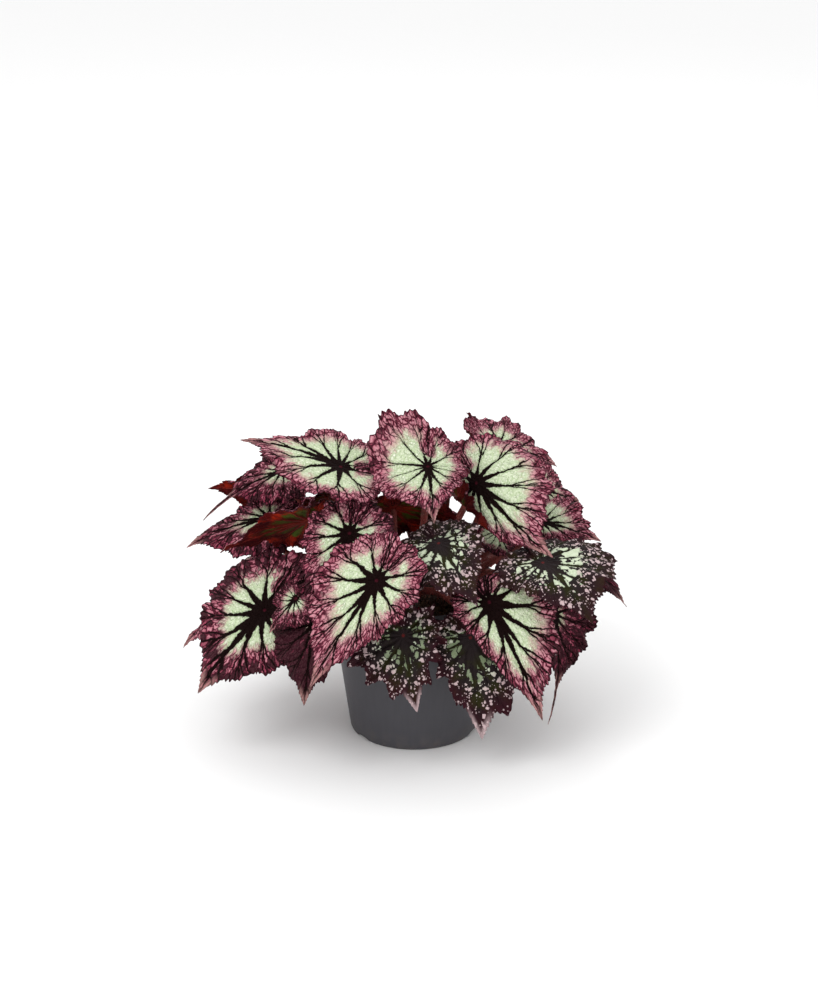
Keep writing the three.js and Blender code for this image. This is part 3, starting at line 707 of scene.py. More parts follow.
def blend(tree, share, first, second):
    """A colour that goes from the first to the second with the share."""
    node = put(tree, "ShaderNodeMix", {0: share, 6: first, 7: second}, data_type="RGBA")
    return node.outputs[2]


def split(tree, vector):
    node = put(tree, "ShaderNodeSeparateXYZ", {0: vector})
    return [Signal(tree, s) for s in node.outputs]


def joined(tree, *values):
    return put(tree, "ShaderNodeCombineXYZ", dict(enumerate(values))).outputs[0]


def noise(tree, vector, scale, detail=2.0, roughness=0.5):
    inputs = {"Vector": vector, "Scale": scale, "Detail": detail, "Roughness": roughness}
    return Signal(tree, put(tree, "ShaderNodeTexNoise", inputs).outputs["Fac"])


def cell_edge(tree, vector, scale=1.0):
    """The distance to the nearest edge of random cells."""
    inputs = {"Vector": vector, "Scale": scale}
    node = put(tree, "ShaderNodeTexVoronoi", inputs, feature="DISTANCE_TO_EDGE")
    return Signal(tree, node.outputs["Distance"])


def cell_middle(tree, vector):
    """The distance to the middle of the same cells, and two random numbers for each cell."""
    node = put(tree, "ShaderNodeTexVoronoi", {"Vector": vector, "Scale": 1.0}, feature="F1")
    first, second, _ = split(tree, node.outputs["Color"])
    return Signal(tree, node.outputs["Distance"]), first, second


FLOAT, VECTOR, COLOUR = "NodeSocketFloat", "NodeSocketVector", "NodeSocketColor"


def new_group(name, inputs, outputs):
    """An empty shader node group, the sockets that its inputs come from, and its output node."""
    tree = bpy.data.node_groups.new(name, "ShaderNodeTree")
    for label, kind in inputs.items():
        tree.interface.new_socket(label, in_out="INPUT", socket_type=kind)
    for label, kind in outputs.items():
        tree.interface.new_socket(label, in_out="OUTPUT", socket_type=kind)
    given = tree.nodes.new("NodeGroupInput")
    result = tree.nodes.new("NodeGroupOutput")
    return tree, given.outputs, result


def give(tree, result, **values):
    """Feeds a group's outputs by name."""
    for key, value in values.items():
        feed(tree, result.inputs[key.replace("_", " ").title()], value)


def shared(build):
    """The node group that build makes, made once."""
    name = build.__name__.replace("_", " ")
    return bpy.data.node_groups.get(name) or build(name)


def use(tree, build, **inputs):
    """Places a shared group in a tree and returns its outputs."""
    node = put(tree, "ShaderNodeGroup", node_tree=shared(build))
    for key, value in inputs.items():
        feed(tree, node.inputs[key.replace("_", " ").title()], value)
    return node.outputs


# share of the way out at which a branch leaves its vein, and how far from the vein it ends up
BRANCHES = [(0.5, 0.36), (0.72, 0.17)]

# The leaf groups read three vectors. Place: the vein number, the share of the way out to the margin
# and the distance in mm between two veins. Flat: x and y on the blade when it lies flat, in mm, and a
# depth of the leaf's own. Look: the leaf's pale, veins and dusk.
PATTERN = {"Place": VECTOR, "Flat": VECTOR}


def vein_lines(name):
    """Masks of the veins, which fork on their way to the margin, and of the blade beside them."""
    tree, given, result = new_group(
        name, {**PATTERN, "Weight": FLOAT}, {"Vein": FLOAT, "Near": FLOAT, "Rib": FLOAT}
    )
    place, share, spacing = split(tree, given["Place"])
    weight = Signal(tree, given["Weight"])

    # the distance to the edge of the nearest vein, which wanders and narrows towards the margin
    wander = noise(tree, given["Flat"], 0.07, 3.0) - 0.5
    place = place + wander * 0.4 * share.step(0.05, 0.5)
    number = place.rounded()
    beside = place - number
    apart = abs(beside)
    on_midrib = abs(number).step(0.6, 0.4)
    inward = (1 - share).at_least(0)
    width = weight * (inward.power(2.2) * 2.5 + 0.22) * (1 + on_midrib * 0.5)
    edge = apart * spacing - width

    # the same for its branches, each of which leaves it a little earlier or later than the last
    shift = (number * 2.4 + beside.math("SIGN") * 1.1).sine() * 0.09
    for start, reach in BRANCHES:
        grown = ((share - start - shift) / (1 - start)).at_least(0).at_most(1)
        off = abs(apart - grown.power(0.75) * (shift + reach)) * spacing
        edge = edge.at_most(off - weight * (inward * 0.5 + 0.18) * grown.step(0, 0.04))
    fray = noise(tree, given["Flat"], 0.5, 5.0, 0.75) - 0.5
    edge = edge + fray * (inward * 2.6 + 0.7) * share.step(0.0, 0.3)
    give(tree, result, vein=edge.step(0.25, -0.1), near=edge.step(2.2, 0.0), rib=edge.step(1.2, -0.6))
    return tree


def margin_cells(name):
    """The small cells near the margin: how close to a cell's edge, and a number for each cell."""
    tree, given, result = new_group(name, PATTERN, {"Edge": FLOAT, "Cell": FLOAT})
    place, share, _ = split(tree, given["Place"])
    _, _, seed = split(tree, given["Flat"])
    bent_place = place + (noise(tree, given["Flat"], 0.35, 2.0) - 0.5) * 0.22
    vector = joined(tree, bent_place * 8.5, share * 6.0, seed)
    give(tree, result, edge=cell_edge(tree, vector), cell=cell_middle(tree, vector)[1])
    return tree


PALE_SHADE = (0.3, 0.42, 0.18)  # darker green between the silver zone's pebbles, partly painted shade; also random mottling
PAINTED_EYE = (0.1, 0.01, 0.022)  # where the stalk meets a painted leaf
SPECKLED_EYE = (0.14, 0.014, 0.014)  # where it meets a dark one
DUSKY_PATCH = (0.05, 0.085, 0.014)  # darker patches of the duskiest dark leaves, partly their own green and partly painted shade
# painted shadow and painted highlight for the leaf undersides
UNDER_SHADOW = (0.02, 0.003, 0.004)
UNDER_PAINTED_HIGHLIGHT = (0.42, 0.026, 0.008)
BARK_SEAM = (0.02, 0.01, 0.006)
DUST = (0.16, 0.14, 0.12)
LEAF_RELIEF = 0.8 * MM  # the depth of a leaf's bumps for a height of 1


def painted_colour(name):
    """The upper side of a painted leaf: silver green middle, rosy margin and near-black veins."""
    colours = dict.fromkeys(("Pale", "Flush", "Blush", "Maroon", "Vein Colour", "Tip"), COLOUR)
    tree, given, result = new_group(
        name, {**PATTERN, "Look": VECTOR, **colours},
        {"Colour": COLOUR, "Height": FLOAT, "Roughness": FLOAT},
    )
    place, share, _ = split(tree, given["Place"])
    x, y, seed = split(tree, given["Flat"])
    # the Look's third part darkens the margin: the leaf's own maroon, and painted shade on leaves in shade
    reach, weight, maroon_and_shade = split(tree, given["Look"])
    veins = use(tree, vein_lines, place=given["Place"], flat=given["Flat"], weight=weight)
    vein, near, rib = (Signal(tree, veins[k]) for k in ("Vein", "Near", "Rib"))
    margin = use(tree, margin_cells, place=given["Place"], flat=given["Flat"])
    edge, cell = Signal(tree, margin["Edge"]), Signal(tree, margin["Cell"])
    broad = noise(tree, given["Flat"], 0.09, 3.0)
    fine = noise(tree, given["Flat"], 0.9, 4.0, 0.65)
    pebble = cell_edge(tree, given["Flat"], 0.55).step(0.0, 0.36)
    panel = cell_edge(tree, joined(tree, place * 2.6, share * 11.0, seed)).step(0.0, 0.24)

    # the silver zone, which ends where out passes 0
    out = share - reach + (broad - 0.5) * 0.3 + (cell - 0.5) * 0.12 + near * 0.04
    # painted shade, partly the leaf's own greener ground: darker in the hollows between the pebbles, along
    # the panel lines and beside the veins
    shade = (1 - pebble) * 0.34 + (1 - panel) * 0.26 + (fine - 0.5).at_least(0) * 1.8 + near * 0.12
    pale = blend(tree, shade, given["Pale"], PALE_SHADE)
    colour = blend(tree, out.step(-0.2, 0.04) * 0.9, pale, given["Blush"])

    # the margin: light rose cells in a dark net, their raised middles lighter partly as painted highlight
    lit = cell * 0.8 + fine * 0.6 + 0.22 - maroon_and_shade * 0.6 - out * 0.9
    rosy = blend(tree, edge.step(0.03, 0.26) * lit.step(0.15, 0.7), given["Flush"], given["Blush"])
    dim = (cell + broad - maroon_and_shade * 0.8 - out * 0.4).step(0.5, 0.15)
    rosy = blend(tree, dim, rosy, given["Maroon"])
    colour = blend(tree, (out + maroon_and_shade * 0.1).step(-0.02, 0.13) * 0.95, colour, rosy)
    net = edge.step(0.15, 0.04) * (out + maroon_and_shade * 0.1).step(-0.1, 0.1)
    colour = blend(tree, net * 0.85, colour, given["Maroon"])

    # the veins, their eye, the drawn-out tip and the rim
    colour = blend(tree, vein, colour, given["Vein Colour"])
    centre = (x * x + y * y).power(0.5)
    colour = blend(tree, centre.step(1.7, 0.4) * 0.7, colour, PAINTED_EYE)
    tip = abs(place).step(0.4, 0.1) * share.step(0.84, 0.98)
    colour = blend(tree, tip * (0.35 + fine * 0.7) * (1 - vein * 0.6), colour, given["Tip"])
    rim = (share + (fine - 0.5) * 0.03).step(0.975, 0.99) * (1 - tip)
    rim = rim * (cell + maroon_and_shade * 0.5).step(0.3, 0.5)
    colour = blend(tree, rim * 0.7, colour, given["Maroon"])

    raised = edge.step(0.0, 0.35) * 0.5 * share.step(0.3, 0.7)
    height = raised + pebble * 0.6 + panel * 0.4 - rib * 0.9 + fine * 0.3
    roughness = 0.4 + vein * 0.1 + fine * 0.12 + net * 0.05
    give(tree, result, colour=colour, height=height, roughness=roughness)
    return tree


def vector_times(tree, vector, factor):
    node = put(tree, "ShaderNodeVectorMath", {0: vector, "Scale": factor}, operation="SCALE")
    return node.outputs[0]


def blotches(tree, vector, ragged):
    """Cells of random size with ragged edges: above 0 inside, and higher towards their middles."""
    away, _, chance = cell_middle(tree, vector)
    return chance * 0.9 - away + ragged * 0.6


def speckled_colour(name):
    """The upper side of a dark leaf: charcoal with silver patches, and pink specks to the margin."""
    colours = dict.fromkeys(("Silver", "Speck", "Charcoal", "Olive", "Maroon"), COLOUR)
    tree, given, result = new_group(
        name, {**PATTERN, "Look": VECTOR, **colours},
        {"Colour": COLOUR, "Height": FLOAT, "Roughness": FLOAT},
    )
    place, share, _ = split(tree, given["Place"])
    x, y, seed = split(tree, given["Flat"])
    # the third part darkens ground and patches: the leaf's own maroon, and painted shade on leaves in shade
    _, weight, maroon_and_shade = split(tree, given["Look"])
    veins = use(tree, vein_lines, place=given["Place"], flat=given["Flat"], weight=weight)
    vein, near, rib = (Signal(tree, veins[k]) for k in ("Vein", "Near", "Rib"))
    broad = noise(tree, given["Flat"], 0.11, 2.0)
    fine = noise(tree, given["Flat"], 1.0, 4.0, 0.65)
    ragged = noise(tree, given["Flat"], 0.6, 3.0, 0.7) - 0.5
    beside = abs(place - place.rounded())

    # the dark ground, olive beside the veins and maroon towards the margin
    beside_vein = near * share.step(0.15, 0.4) * broad.step(0.4, 0.6)
    ground = blend(tree, beside_vein, given["Charcoal"], given["Olive"])
    ground = blend(tree, share.step(0.6, 1.0) * (0.2 + maroon_and_shade * 0.8), ground, given["Maroon"])

    # silver patches in rows between the veins, which hold to the middle of the blade
    clear = (1 - vein) * beside.step(0.05, 0.17)
    patch = blotches(tree, joined(tree, place * 2.0, share * 5.6, seed), ragged)
    band = share.step(0.16, 0.3) - share.step(0.42, 0.78) * (0.75 + maroon_and_shade * 0.2)
    patch = (patch + clear * 0.35 + band - 0.84 - maroon_and_shade * 0.1).step(0.3, 0.4)

    # specks, which start where the patches thin out and turn pink towards the margin
    spot = blotches(tree, vector_times(tree, given["Flat"], 0.31), ragged)
    fleck = blotches(tree, vector_times(tree, given["Flat"], 0.62), ragged)
    many = share.step(0.25, 0.6) * 0.4 - vein * 0.35 - share.step(0.7, 1.0) * 0.1 - 0.35
    spot = (spot + many).step(0.22, 0.34).at_least((fleck + many).step(0.28, 0.4))
    speck = blend(tree, share.step(0.4, 0.7), given["Silver"], given["Speck"])
    colour = blend(tree, spot * (0.75 + fine * 0.4), ground, speck)
    silver = blend(tree, fine.step(0.45, 0.7) * 0.45, given["Silver"], PALE_SHADE)
    # on the duskiest leaves the patches turn dark green, partly as painted shade
    silver = blend(tree, maroon_and_shade.step(0.5, 0.9) * (0.45 + broad * 0.5), silver, DUSKY_PATCH)
    colour = blend(tree, patch * clear, colour, silver)
    centre = (x * x + y * y).power(0.5)
    colour = blend(tree, (centre + ragged).step(1.5, 0.6) * 0.7, colour, SPECKLED_EYE)
    colour = blend(tree, share.step(0.97, 0.99) * 0.5, colour, given["Maroon"])
    point = abs(place).step(0.55, 0.15) * share.step(0.86, 0.98) * maroon_and_shade.step(0.4, 0.7)
    colour = blend(tree, point * (0.3 + fine * 0.8), colour, given["Speck"])
    height = spot * 0.4 + patch * 0.4 - rib * 0.8 + fine * 0.35
    give(tree, result, colour=colour, height=height, roughness=0.42 + fine * 0.14)
    return tree


def underside_colour(name):
    """The underside: deep red, olive between the veins towards the stalk, with raised bright veins."""
    colours = dict.fromkeys(("Red", "Olive", "Rib Colour"), COLOUR)
    tree, given, result = new_group(
        name, {**PATTERN, "Look": VECTOR, **colours}, {"Colour": COLOUR, "Height": FLOAT}
    )
    _, share, _ = split(tree, given["Place"])
    reach, _, _ = split(tree, given["Look"])
    veins = use(tree, vein_lines, place=given["Place"], flat=given["Flat"], weight=0.5)
    vein, near = Signal(tree, veins["Vein"]), Signal(tree, veins["Near"])
    broad = noise(tree, given["Flat"], 0.12, 3.0)
    fine = noise(tree, given["Flat"], 0.8, 4.0, 0.6)

    # olive inside, and red round it with broad patches of painted shadow and of painted highlight
    inner = (reach - share + (broad - 0.5) * 0.5).step(-0.05, 0.12) * (1 - near * 0.8)
    colour = blend(tree, inner * (0.3 + broad), given["Red"], given["Olive"])
    # painted shadow: broad patches and fine flecks darkened nearly to black
    deep = noise(tree, given["Flat"], 0.045, 2.0).step(0.4, 0.56)
    dark = (deep * 0.75 + fine.step(0.4, 0.7) * 0.4).at_most(0.9) * (1 - inner * 0.4)
    colour = blend(tree, dark, colour, UNDER_SHADOW)
    # painted highlight: bright red-orange patches, kept off the painted shadow and the olive
    bright = noise(tree, given["Flat"], 0.075, 3.0).step(0.5, 0.62) * (1 - deep * 0.8) * (1 - inner)
    colour = blend(tree, bright * (0.5 + fine * 0.8), colour, UNDER_PAINTED_HIGHLIGHT)
    colour = blend(tree, near * 0.25, colour, given["Red"])
    colour = blend(tree, vein * (0.85 - deep * 0.45), colour, given["Rib Colour"])
    give(tree, result, colour=colour, height=vein * 1.2 + fine * 0.3)
    return tree


# ---- materials ----
def new_material(name, roughness=0.5, **sockets):
    """A material with one Principled shader, its plain numbers on the shader's own sockets."""
    material = bpy.data.materials.new(name)
    material.use_nodes = True
    tree = material.node_tree
    shader = tree.nodes["Principled BSDF"]
    shader.inputs["Roughness"].default_value = roughness
    for key, value in sockets.items():
        shader.inputs[key.replace("_", " ")].default_value = value
    return material, tree, shader


def bump(tree, shader, height, depth):
    node = put(tree, "ShaderNodeBump", {"Height": height, "Distance": depth})
    tree.links.new(node.outputs["Normal"], shader.inputs["Normal"])


def leaf_material(name, build, roughness=0.5, specular=0.05, **colours):
    """A material whose colour, relief and gloss come from a leaf group and its vectors."""
    material, tree, shader = new_material(name, roughness, Specular_IOR_Level=specular)
    vectors = {}
    for key in ("place", "flat", "look"):
        attribute = put(tree, "ShaderNodeAttribute", attribute_name=f"leaf_{key}")
        vectors[key] = attribute.outputs["Vector"]
    outputs = use(tree, build, **vectors, **colours)
    tree.links.new(outputs["Colour"], shader.inputs["Base Color"])
    if "Roughness" in outputs:
        tree.links.new(outputs["Roughness"], shader.inputs["Roughness"])
    bump(tree, shader, outputs["Height"], LEAF_RELIEF)
    return material


def painted_material(settings):
    return leaf_material(
        "painted_upper_side", painted_colour, specular=0.04, pale=settings.pale,
        flush=settings.flush, blush=settings.blush, maroon=settings.maroon,
        vein_colour=settings.vein, tip=settings.tip,
    )


def speckled_material(settings):
    return leaf_material(
        "speckled_upper_side", speckled_colour, specular=0.06, silver=settings.silver,
        speck=settings.speck, charcoal=settings.charcoal, olive=settings.olive,
        maroon=settings.maroon,
    )


def underside_material(settings):
    return leaf_material(
        "leaf_underside", underside_colour, roughness=0.55, red=settings.under,
        olive=settings.under_olive, rib_colour=settings.under_rib,
    )


def object_vector(tree):
    """Object coordinates in millimetres."""
    return vector_times(tree, put(tree, "ShaderNodeTexCoord").outputs["Object"], 1 / MM)


def stalk_material(settings):
    material, tree, shader = new_material("stalk_skin", roughness=0.5, Specular_IOR_Level=0.2)
    where = object_vector(tree)
    blotch = noise(tree, where, 0.16, 3.0)
    fleck = cell_edge(tree, where, 0.9).step(0.0, 0.3)
    colour = blend(tree, blotch.step(0.4, 0.7), settings.stalk_red, settings.stalk_dark)
    colour = blend(tree, (1 - fleck) * 0.4, colour, settings.stalk_fleck)
    tree.links.new(colour, shader.inputs["Base Color"])
    bump(tree, shader, fleck * 0.6 + blotch * 0.4, 0.3 * MM)
    return material


def hair_material(settings):
    material, tree, shader = new_material("stalk_hair", roughness=0.6)
    tone = noise(tree, object_vector(tree), 0.3, 1.0)
    colour = blend(tree, tone.step(0.35, 0.65), settings.hair_light, settings.hair_red)
    tree.links.new(colour, shader.inputs["Base Color"])
    return material


def rhizome_material(settings):
    material, tree, shader = new_material("rhizome_bark", roughness=0.7)
    where = object_vector(tree)
    ring = noise(tree, where, 0.35, 4.0, 0.6)
    scale = cell_edge(tree, where, 0.35).step(0.0, 0.25)
    colour = blend(tree, ring.step(0.35, 0.65), settings.bark_light, settings.bark_dark)
    colour = blend(tree, (1 - scale) * 0.7, colour, BARK_SEAM)
    tree.links.new(colour, shader.inputs["Base Color"])
    bump(tree, shader, scale + ring, 0.8 * MM)
    return material


def soil_material(name, light, dark, roughness):
    material, tree, shader = new_material(name, roughness=roughness, Specular_IOR_Level=0.2)
    where = object_vector(tree)
    clod = noise(tree, where, 0.28, 5.0, 0.65)
    colour = blend(tree, clod.step(0.3, 0.7), dark, light)
    tree.links.new(colour, shader.inputs["Base Color"])
    bump(tree, shader, clod, 1.2 * MM)
    return material


def wall_wear(name):
    """Faint marks on moulded plastic: flow streaks, fine grain and a dusty foot."""
    tree, given, result = new_group(
        name, {"Where": VECTOR}, {"Streak": FLOAT, "Grain": FLOAT, "Dust": FLOAT}
    )
    x, y, z = split(tree, given["Where"])
    streak = noise(tree, joined(tree, x, y, z * 0.06), 0.35, 3.0)
    grain = noise(tree, given["Where"], 3.0, 2.0)
    dust = z.step(16, 0) * noise(tree, given["Where"], 0.12, 4.0).step(0.35, 0.7)
    give(tree, result, streak=streak, grain=grain, dust=dust)
    return tree


def pot_material(settings):
    material, tree, shader = new_material("moulded_plastic", Specular_IOR_Level=0.3)
    wear = use(tree, wall_wear, where=object_vector(tree))
    streak, grain, dust = (Signal(tree, wear[k]) for k in ("Streak", "Grain", "Dust"))
    colour = blend(tree, streak.step(0.3, 0.7) * 0.35, settings.plastic, settings.plastic_light)
    colour = blend(tree, dust * 0.3, colour, DUST)
    tree.links.new(colour, shader.inputs["Base Color"])
    rough = 0.46 + streak * 0.1 + grain * 0.06 + dust * 0.2
    feed(tree, shader.inputs["Roughness"], rough)
    bump(tree, shader, grain * 0.4 + streak * 0.6, 0.12 * MM)
    return material


# ---- what repeats, and what follows a path: geometry node trees ----
def geometry_tree(name, inputs):
    """An empty geometry tree with a Geometry input and the named inputs, and their sockets."""
    tree = bpy.data.node_groups.new(name, "GeometryNodeTree")
    tree.interface.new_socket("Geometry", in_out="INPUT", socket_type="NodeSocketGeometry")
    for label, kind in inputs.items():
        tree.interface.new_socket(label, in_out="INPUT", socket_type=kind)
    tree.interface.new_socket("Geometry", in_out="OUTPUT", socket_type="NodeSocketGeometry")
    return tree, tree.nodes.new("NodeGroupInput").outputs


def tree_ends(tree, geometry, material):
    """Makes instances real, gives them their material and hands them out."""
    real = put(tree, "GeometryNodeRealizeInstances", {0: geometry})
    worn = put(tree, "GeometryNodeSetMaterial", {"Geometry": real.outputs[0], "Material": material})
    result = tree.nodes.new("NodeGroupOutput")
    tree.links.new(worn.outputs[0], result.inputs[0])
    return tree


def swept_tubes():
    """Round tubes along the edges of a mesh, as thick as its tube_radius attribute says."""
    tree, given = geometry_tree(
        "swept_tubes", {"Sides": "NodeSocketInt", "Material": "NodeSocketMaterial"}
    )
    radius = put(tree, "GeometryNodeInputNamedAttribute", {"Name": "tube_radius"}, data_type="FLOAT")
    curve = put(tree, "GeometryNodeMeshToCurve", {0: given["Geometry"]})
    circle = put(tree, "GeometryNodeCurvePrimitiveCircle", {"Resolution": given["Sides"], "Radius": 1.0})
    tube = put(
        tree, "GeometryNodeCurveToMesh",
        {"Curve": curve.outputs[0], "Profile Curve": circle.outputs[0], "Scale": radius.outputs[0],
         "Fill Caps": True},
    )
    smooth = put(tree, "GeometryNodeSetShadeSmooth", {0: tube.outputs[0]})
    return tree_ends(tree, smooth.outputs[0], given["Material"])


HAIR_LEAN = (0.5, 0.5, 3.1)  # the most that a hair leans or turns either way, in radians
HAIR_LENGTHS = (0.5, 1.3)  # of the shortest and the longest, as shares of the set length
LOOKS_UP = 0.6  # how far a surface has to look up for crumbs to lie on it
FULL_TURN = 6.28


def hairs():
    """Fine tapered hairs that stand on a surface, each leaning a little its own way."""
    tree, given = geometry_tree(
        "hairs",
        {
            "Density": "NodeSocketFloat", "Length": "NodeSocketFloat", "Thickness": "NodeSocketFloat",
            "Seed": "NodeSocketInt", "Material": "NodeSocketMaterial",
        },
    )
    spread = put(
        tree, "GeometryNodeDistributePointsOnFaces",
        {"Mesh": given["Geometry"], "Density": given["Density"], "Seed": given["Seed"]},
    )
    cone = put(
        tree, "GeometryNodeMeshCone",
        {"Vertices": 3, "Side Segments": 2, "Radius Top": 0.0, "Radius Bottom": given["Thickness"],
         "Depth": given["Length"]},
    )
    lean = put(
        tree, "FunctionNodeRandomValue",
        {0: tuple(-most for most in HAIR_LEAN), 1: HAIR_LEAN, "Seed": given["Seed"]},
        data_type="FLOAT_VECTOR",
    )
    turned = put(
        tree, "FunctionNodeRotateRotation",
        {"Rotation": spread.outputs["Rotation"], "Rotate By": lean.outputs[0]}, rotation_space="LOCAL",
    )
    shortest, longest = HAIR_LENGTHS
    length = put(
        tree, "FunctionNodeRandomValue", {2: shortest, 3: longest, "Seed": given["Seed"]},
        data_type="FLOAT",
    )
    placed = put(
        tree, "GeometryNodeInstanceOnPoints",
        {"Points": spread.outputs["Points"], "Instance": cone.outputs["Mesh"],
         "Rotation": turned.outputs[0], "Scale": length.outputs[1]},
    )
    return tree_ends(tree, placed.outputs[0], given["Material"])


def crumbs():
    """Uneven lumps of many sizes, strewn over the parts of a surface that look up."""
    tree, given = geometry_tree(
        "crumbs",
        {
            "Density": "NodeSocketFloat", "Smallest": "NodeSocketFloat", "Largest": "NodeSocketFloat",
            "Seed": "NodeSocketInt", "Material": "NodeSocketMaterial",
        },
    )
    normal = put(tree, "GeometryNodeInputNormal")
    rise = put(tree, "ShaderNodeSeparateXYZ", {0: normal.outputs[0]}).outputs["Z"]
    upward = put(tree, "FunctionNodeCompare", {0: rise, 1: LOOKS_UP}, operation="GREATER_THAN")
    spread = put(
        tree, "GeometryNodeDistributePointsOnFaces",
        {"Mesh": given["Geometry"], "Selection": upward.outputs[0], "Density": given["Density"],
         "Seed": given["Seed"]},
    )
    lump = put(tree, "GeometryNodeMeshIcoSphere", {"Radius": 1.0, "Subdivisions": 2})
    where = put(tree, "GeometryNodeInputPosition")
    dent = put(tree, "ShaderNodeTexNoise", {"Vector": where.outputs[0], "Scale": 1.3})
    push = put(
        tree, "ShaderNodeVectorMath", {0: dent.outputs["Color"], 1: (0.5, 0.5, 0.5)}, operation="SUBTRACT"
    )
    shaped = put(
        tree, "GeometryNodeSetPosition", {"Geometry": lump.outputs["Mesh"], "Offset": push.outputs[0]}
    )
    turn = put(
        tree, "FunctionNodeRandomValue",
        {0: (0, 0, 0), 1: (FULL_TURN,) * 3, "Seed": given["Seed"]}, data_type="FLOAT_VECTOR",
    )
    size = put(
        tree, "FunctionNodeRandomValue", {2: given["Smallest"], 3: given["Largest"], "Seed": given["Seed"]},
        data_type="FLOAT",
    )
    placed = put(
        tree, "GeometryNodeInstanceOnPoints",
        {"Points": spread.outputs["Points"], "Instance": shaped.outputs[0],
         "Rotation": turn.outputs[0], "Scale": size.outputs[1]},
    )
    return tree_ends(tree, placed.outputs[0], given["Material"])


def grown(source, build, name, **values):
    """What a geometry tree makes of a source object, as a plain mesh. The source stays."""
    tree = bpy.data.node_groups.get(build.__name__) or build()
    work = source.copy()
    collection().objects.link(work)
    modifier = work.modifiers.new(tree.name, "NODES")
    modifier.node_group = tree
    sockets = {s.name: s.identifier for s in tree.interface.items_tree if s.in_out == "INPUT"}
    for key, value in values.items():
        modifier[sockets[key.replace("_", " ").title()]] = value
    return baked(work, name)


# ---- settings ----
def length_setting(name, description, default):
    return FloatProperty(
        name=name, description=description, default=default, min=0, unit="LENGTH", subtype="DISTANCE"
    )


def colour_setting(name, description, default):
    return FloatVectorProperty(
        name=name, description=description, default=default, size=3, min=0, max=1, subtype="COLOR"
    )


def density_setting(name, description, default):
    return FloatProperty(name=name, description=description, default=default, min=0)


def power_setting(name, description, default):
    return FloatProperty(name=name, description=description, default=default, min=0, unit="POWER")


class BladeSettings(bpy.types.PropertyGroup):
    """Thickness, relief and colours of the leaf blades."""

    blade_thickness: length_setting("Thickness", "Thickness of a blade near its stalk", 0.8 * MM)
    pucker: length_setting("Pucker", "Height of the quilting", 1.5 * MM)
    ruffle: length_setting("Ruffle", "Height of the margin's ruffles", 1.9 * MM)
    pale: colour_setting("Silver Green", "Middle of a painted leaf", (0.79, 0.84, 0.66))
    flush: colour_setting("Rose", "Margin of a painted leaf", (0.31, 0.04, 0.085))
    blush: colour_setting("Light Rose", "Raised cells of the margin", (0.6, 0.26, 0.31))
    maroon: colour_setting("Maroon", "Edge and net of the margin", (0.03, 0.004, 0.009))
    vein: colour_setting("Vein", "Veins and star of a painted leaf", (0.007, 0.0022, 0.002))
    tip: colour_setting("Tip", "Drawn-out point of a leaf", (0.5, 0.27, 0.25))
    silver: colour_setting("Silver", "Patches of a dark leaf", (0.62, 0.69, 0.52))
    speck: colour_setting("Speck", "Specks of a dark leaf", (0.55, 0.41, 0.42))
    charcoal: colour_setting("Charcoal", "Ground of a dark leaf", (0.017, 0.0115, 0.012))
    olive: colour_setting("Olive", "Beside the veins of a dark leaf", (0.022, 0.021, 0.006))
    under: colour_setting("Underside", "Underside of a leaf", (0.1, 0.006, 0.007))
    under_olive: colour_setting("Underside Olive", "Underside between the veins", (0.075, 0.11, 0.014))
    under_rib: colour_setting("Underside Veins", "Raised veins of the underside", (0.24, 0.022, 0.016))


class StalkSettings(bpy.types.PropertyGroup):
    """Sizes and colours of the stalks, their hairs and the rhizome."""

    foot_radius: length_setting("Foot Radius", "Radius of a stalk at the rhizome", STALK_FOOT * MM)
    end_radius: length_setting("End Radius", "Radius of a stalk under its blade", 1.9 * MM)
    sides: IntProperty(name="Sides", description="Sides of a stalk", default=14, min=6)
    hair_length: length_setting("Hair Length", "Length of the stalk hairs", 1.8 * MM)
    hair_thickness: length_setting("Hair Thickness", "Radius of a hair at its foot", 0.09 * MM)
    hair_density: density_setting("Hair Density", "Hairs on a square metre", 170000)
    stalk_red: colour_setting("Red", "Light side of a stalk", (0.19, 0.018, 0.017))
    stalk_dark: colour_setting("Dark Red", "Dark blotches of a stalk", (0.06, 0.007, 0.009))
    stalk_fleck: colour_setting("Fleck", "Pale flecks of a stalk", (0.36, 0.14, 0.11))
    hair_light: colour_setting("Light Hair", "Light hairs", (0.45, 0.22, 0.19))
    hair_red: colour_setting("Red Hair", "Red hairs", (0.22, 0.035, 0.03))
    bark_light: colour_setting("Light Bark", "Light parts of the rhizome", (0.16, 0.075, 0.04))
    bark_dark: colour_setting("Dark Bark", "Dark parts of the rhizome", (0.05, 0.022, 0.014))


class SoilSettings(bpy.types.PropertyGroup):
    """How thickly the soil is strewn, and its colours."""

    crumb_density: density_setting("Crumb Density", "Crumbs on a square metre", 190000)
    crumb_smallest: length_setting("Smallest Crumb", "Radius of the smallest crumbs", 0.35 * MM)
    crumb_largest: length_setting("Largest Crumb", "Radius of the largest crumbs", 1.5 * MM)
    perlite_density: density_setting("Perlite", "Perlite on a square metre", 9000)
    perlite_smallest: length_setting("Smallest Perlite", "Radius of the smallest grains", 0.6 * MM)
    perlite_largest: length_setting("Largest Perlite", "Radius of the largest grains", 1.6 * MM)
    light: colour_setting("Light Soil", "Dry crumbs", (0.075, 0.045, 0.026))
    dark: colour_setting("Dark Soil", "Moist ground", (0.016, 0.01, 0.007))
    perlite: colour_setting("Perlite Grains", "Light side of the perlite", (0.8, 0.78, 0.72))
    perlite_shade: colour_setting("Perlite Shade", "Dark side of the perlite", (0.55, 0.52, 0.46))


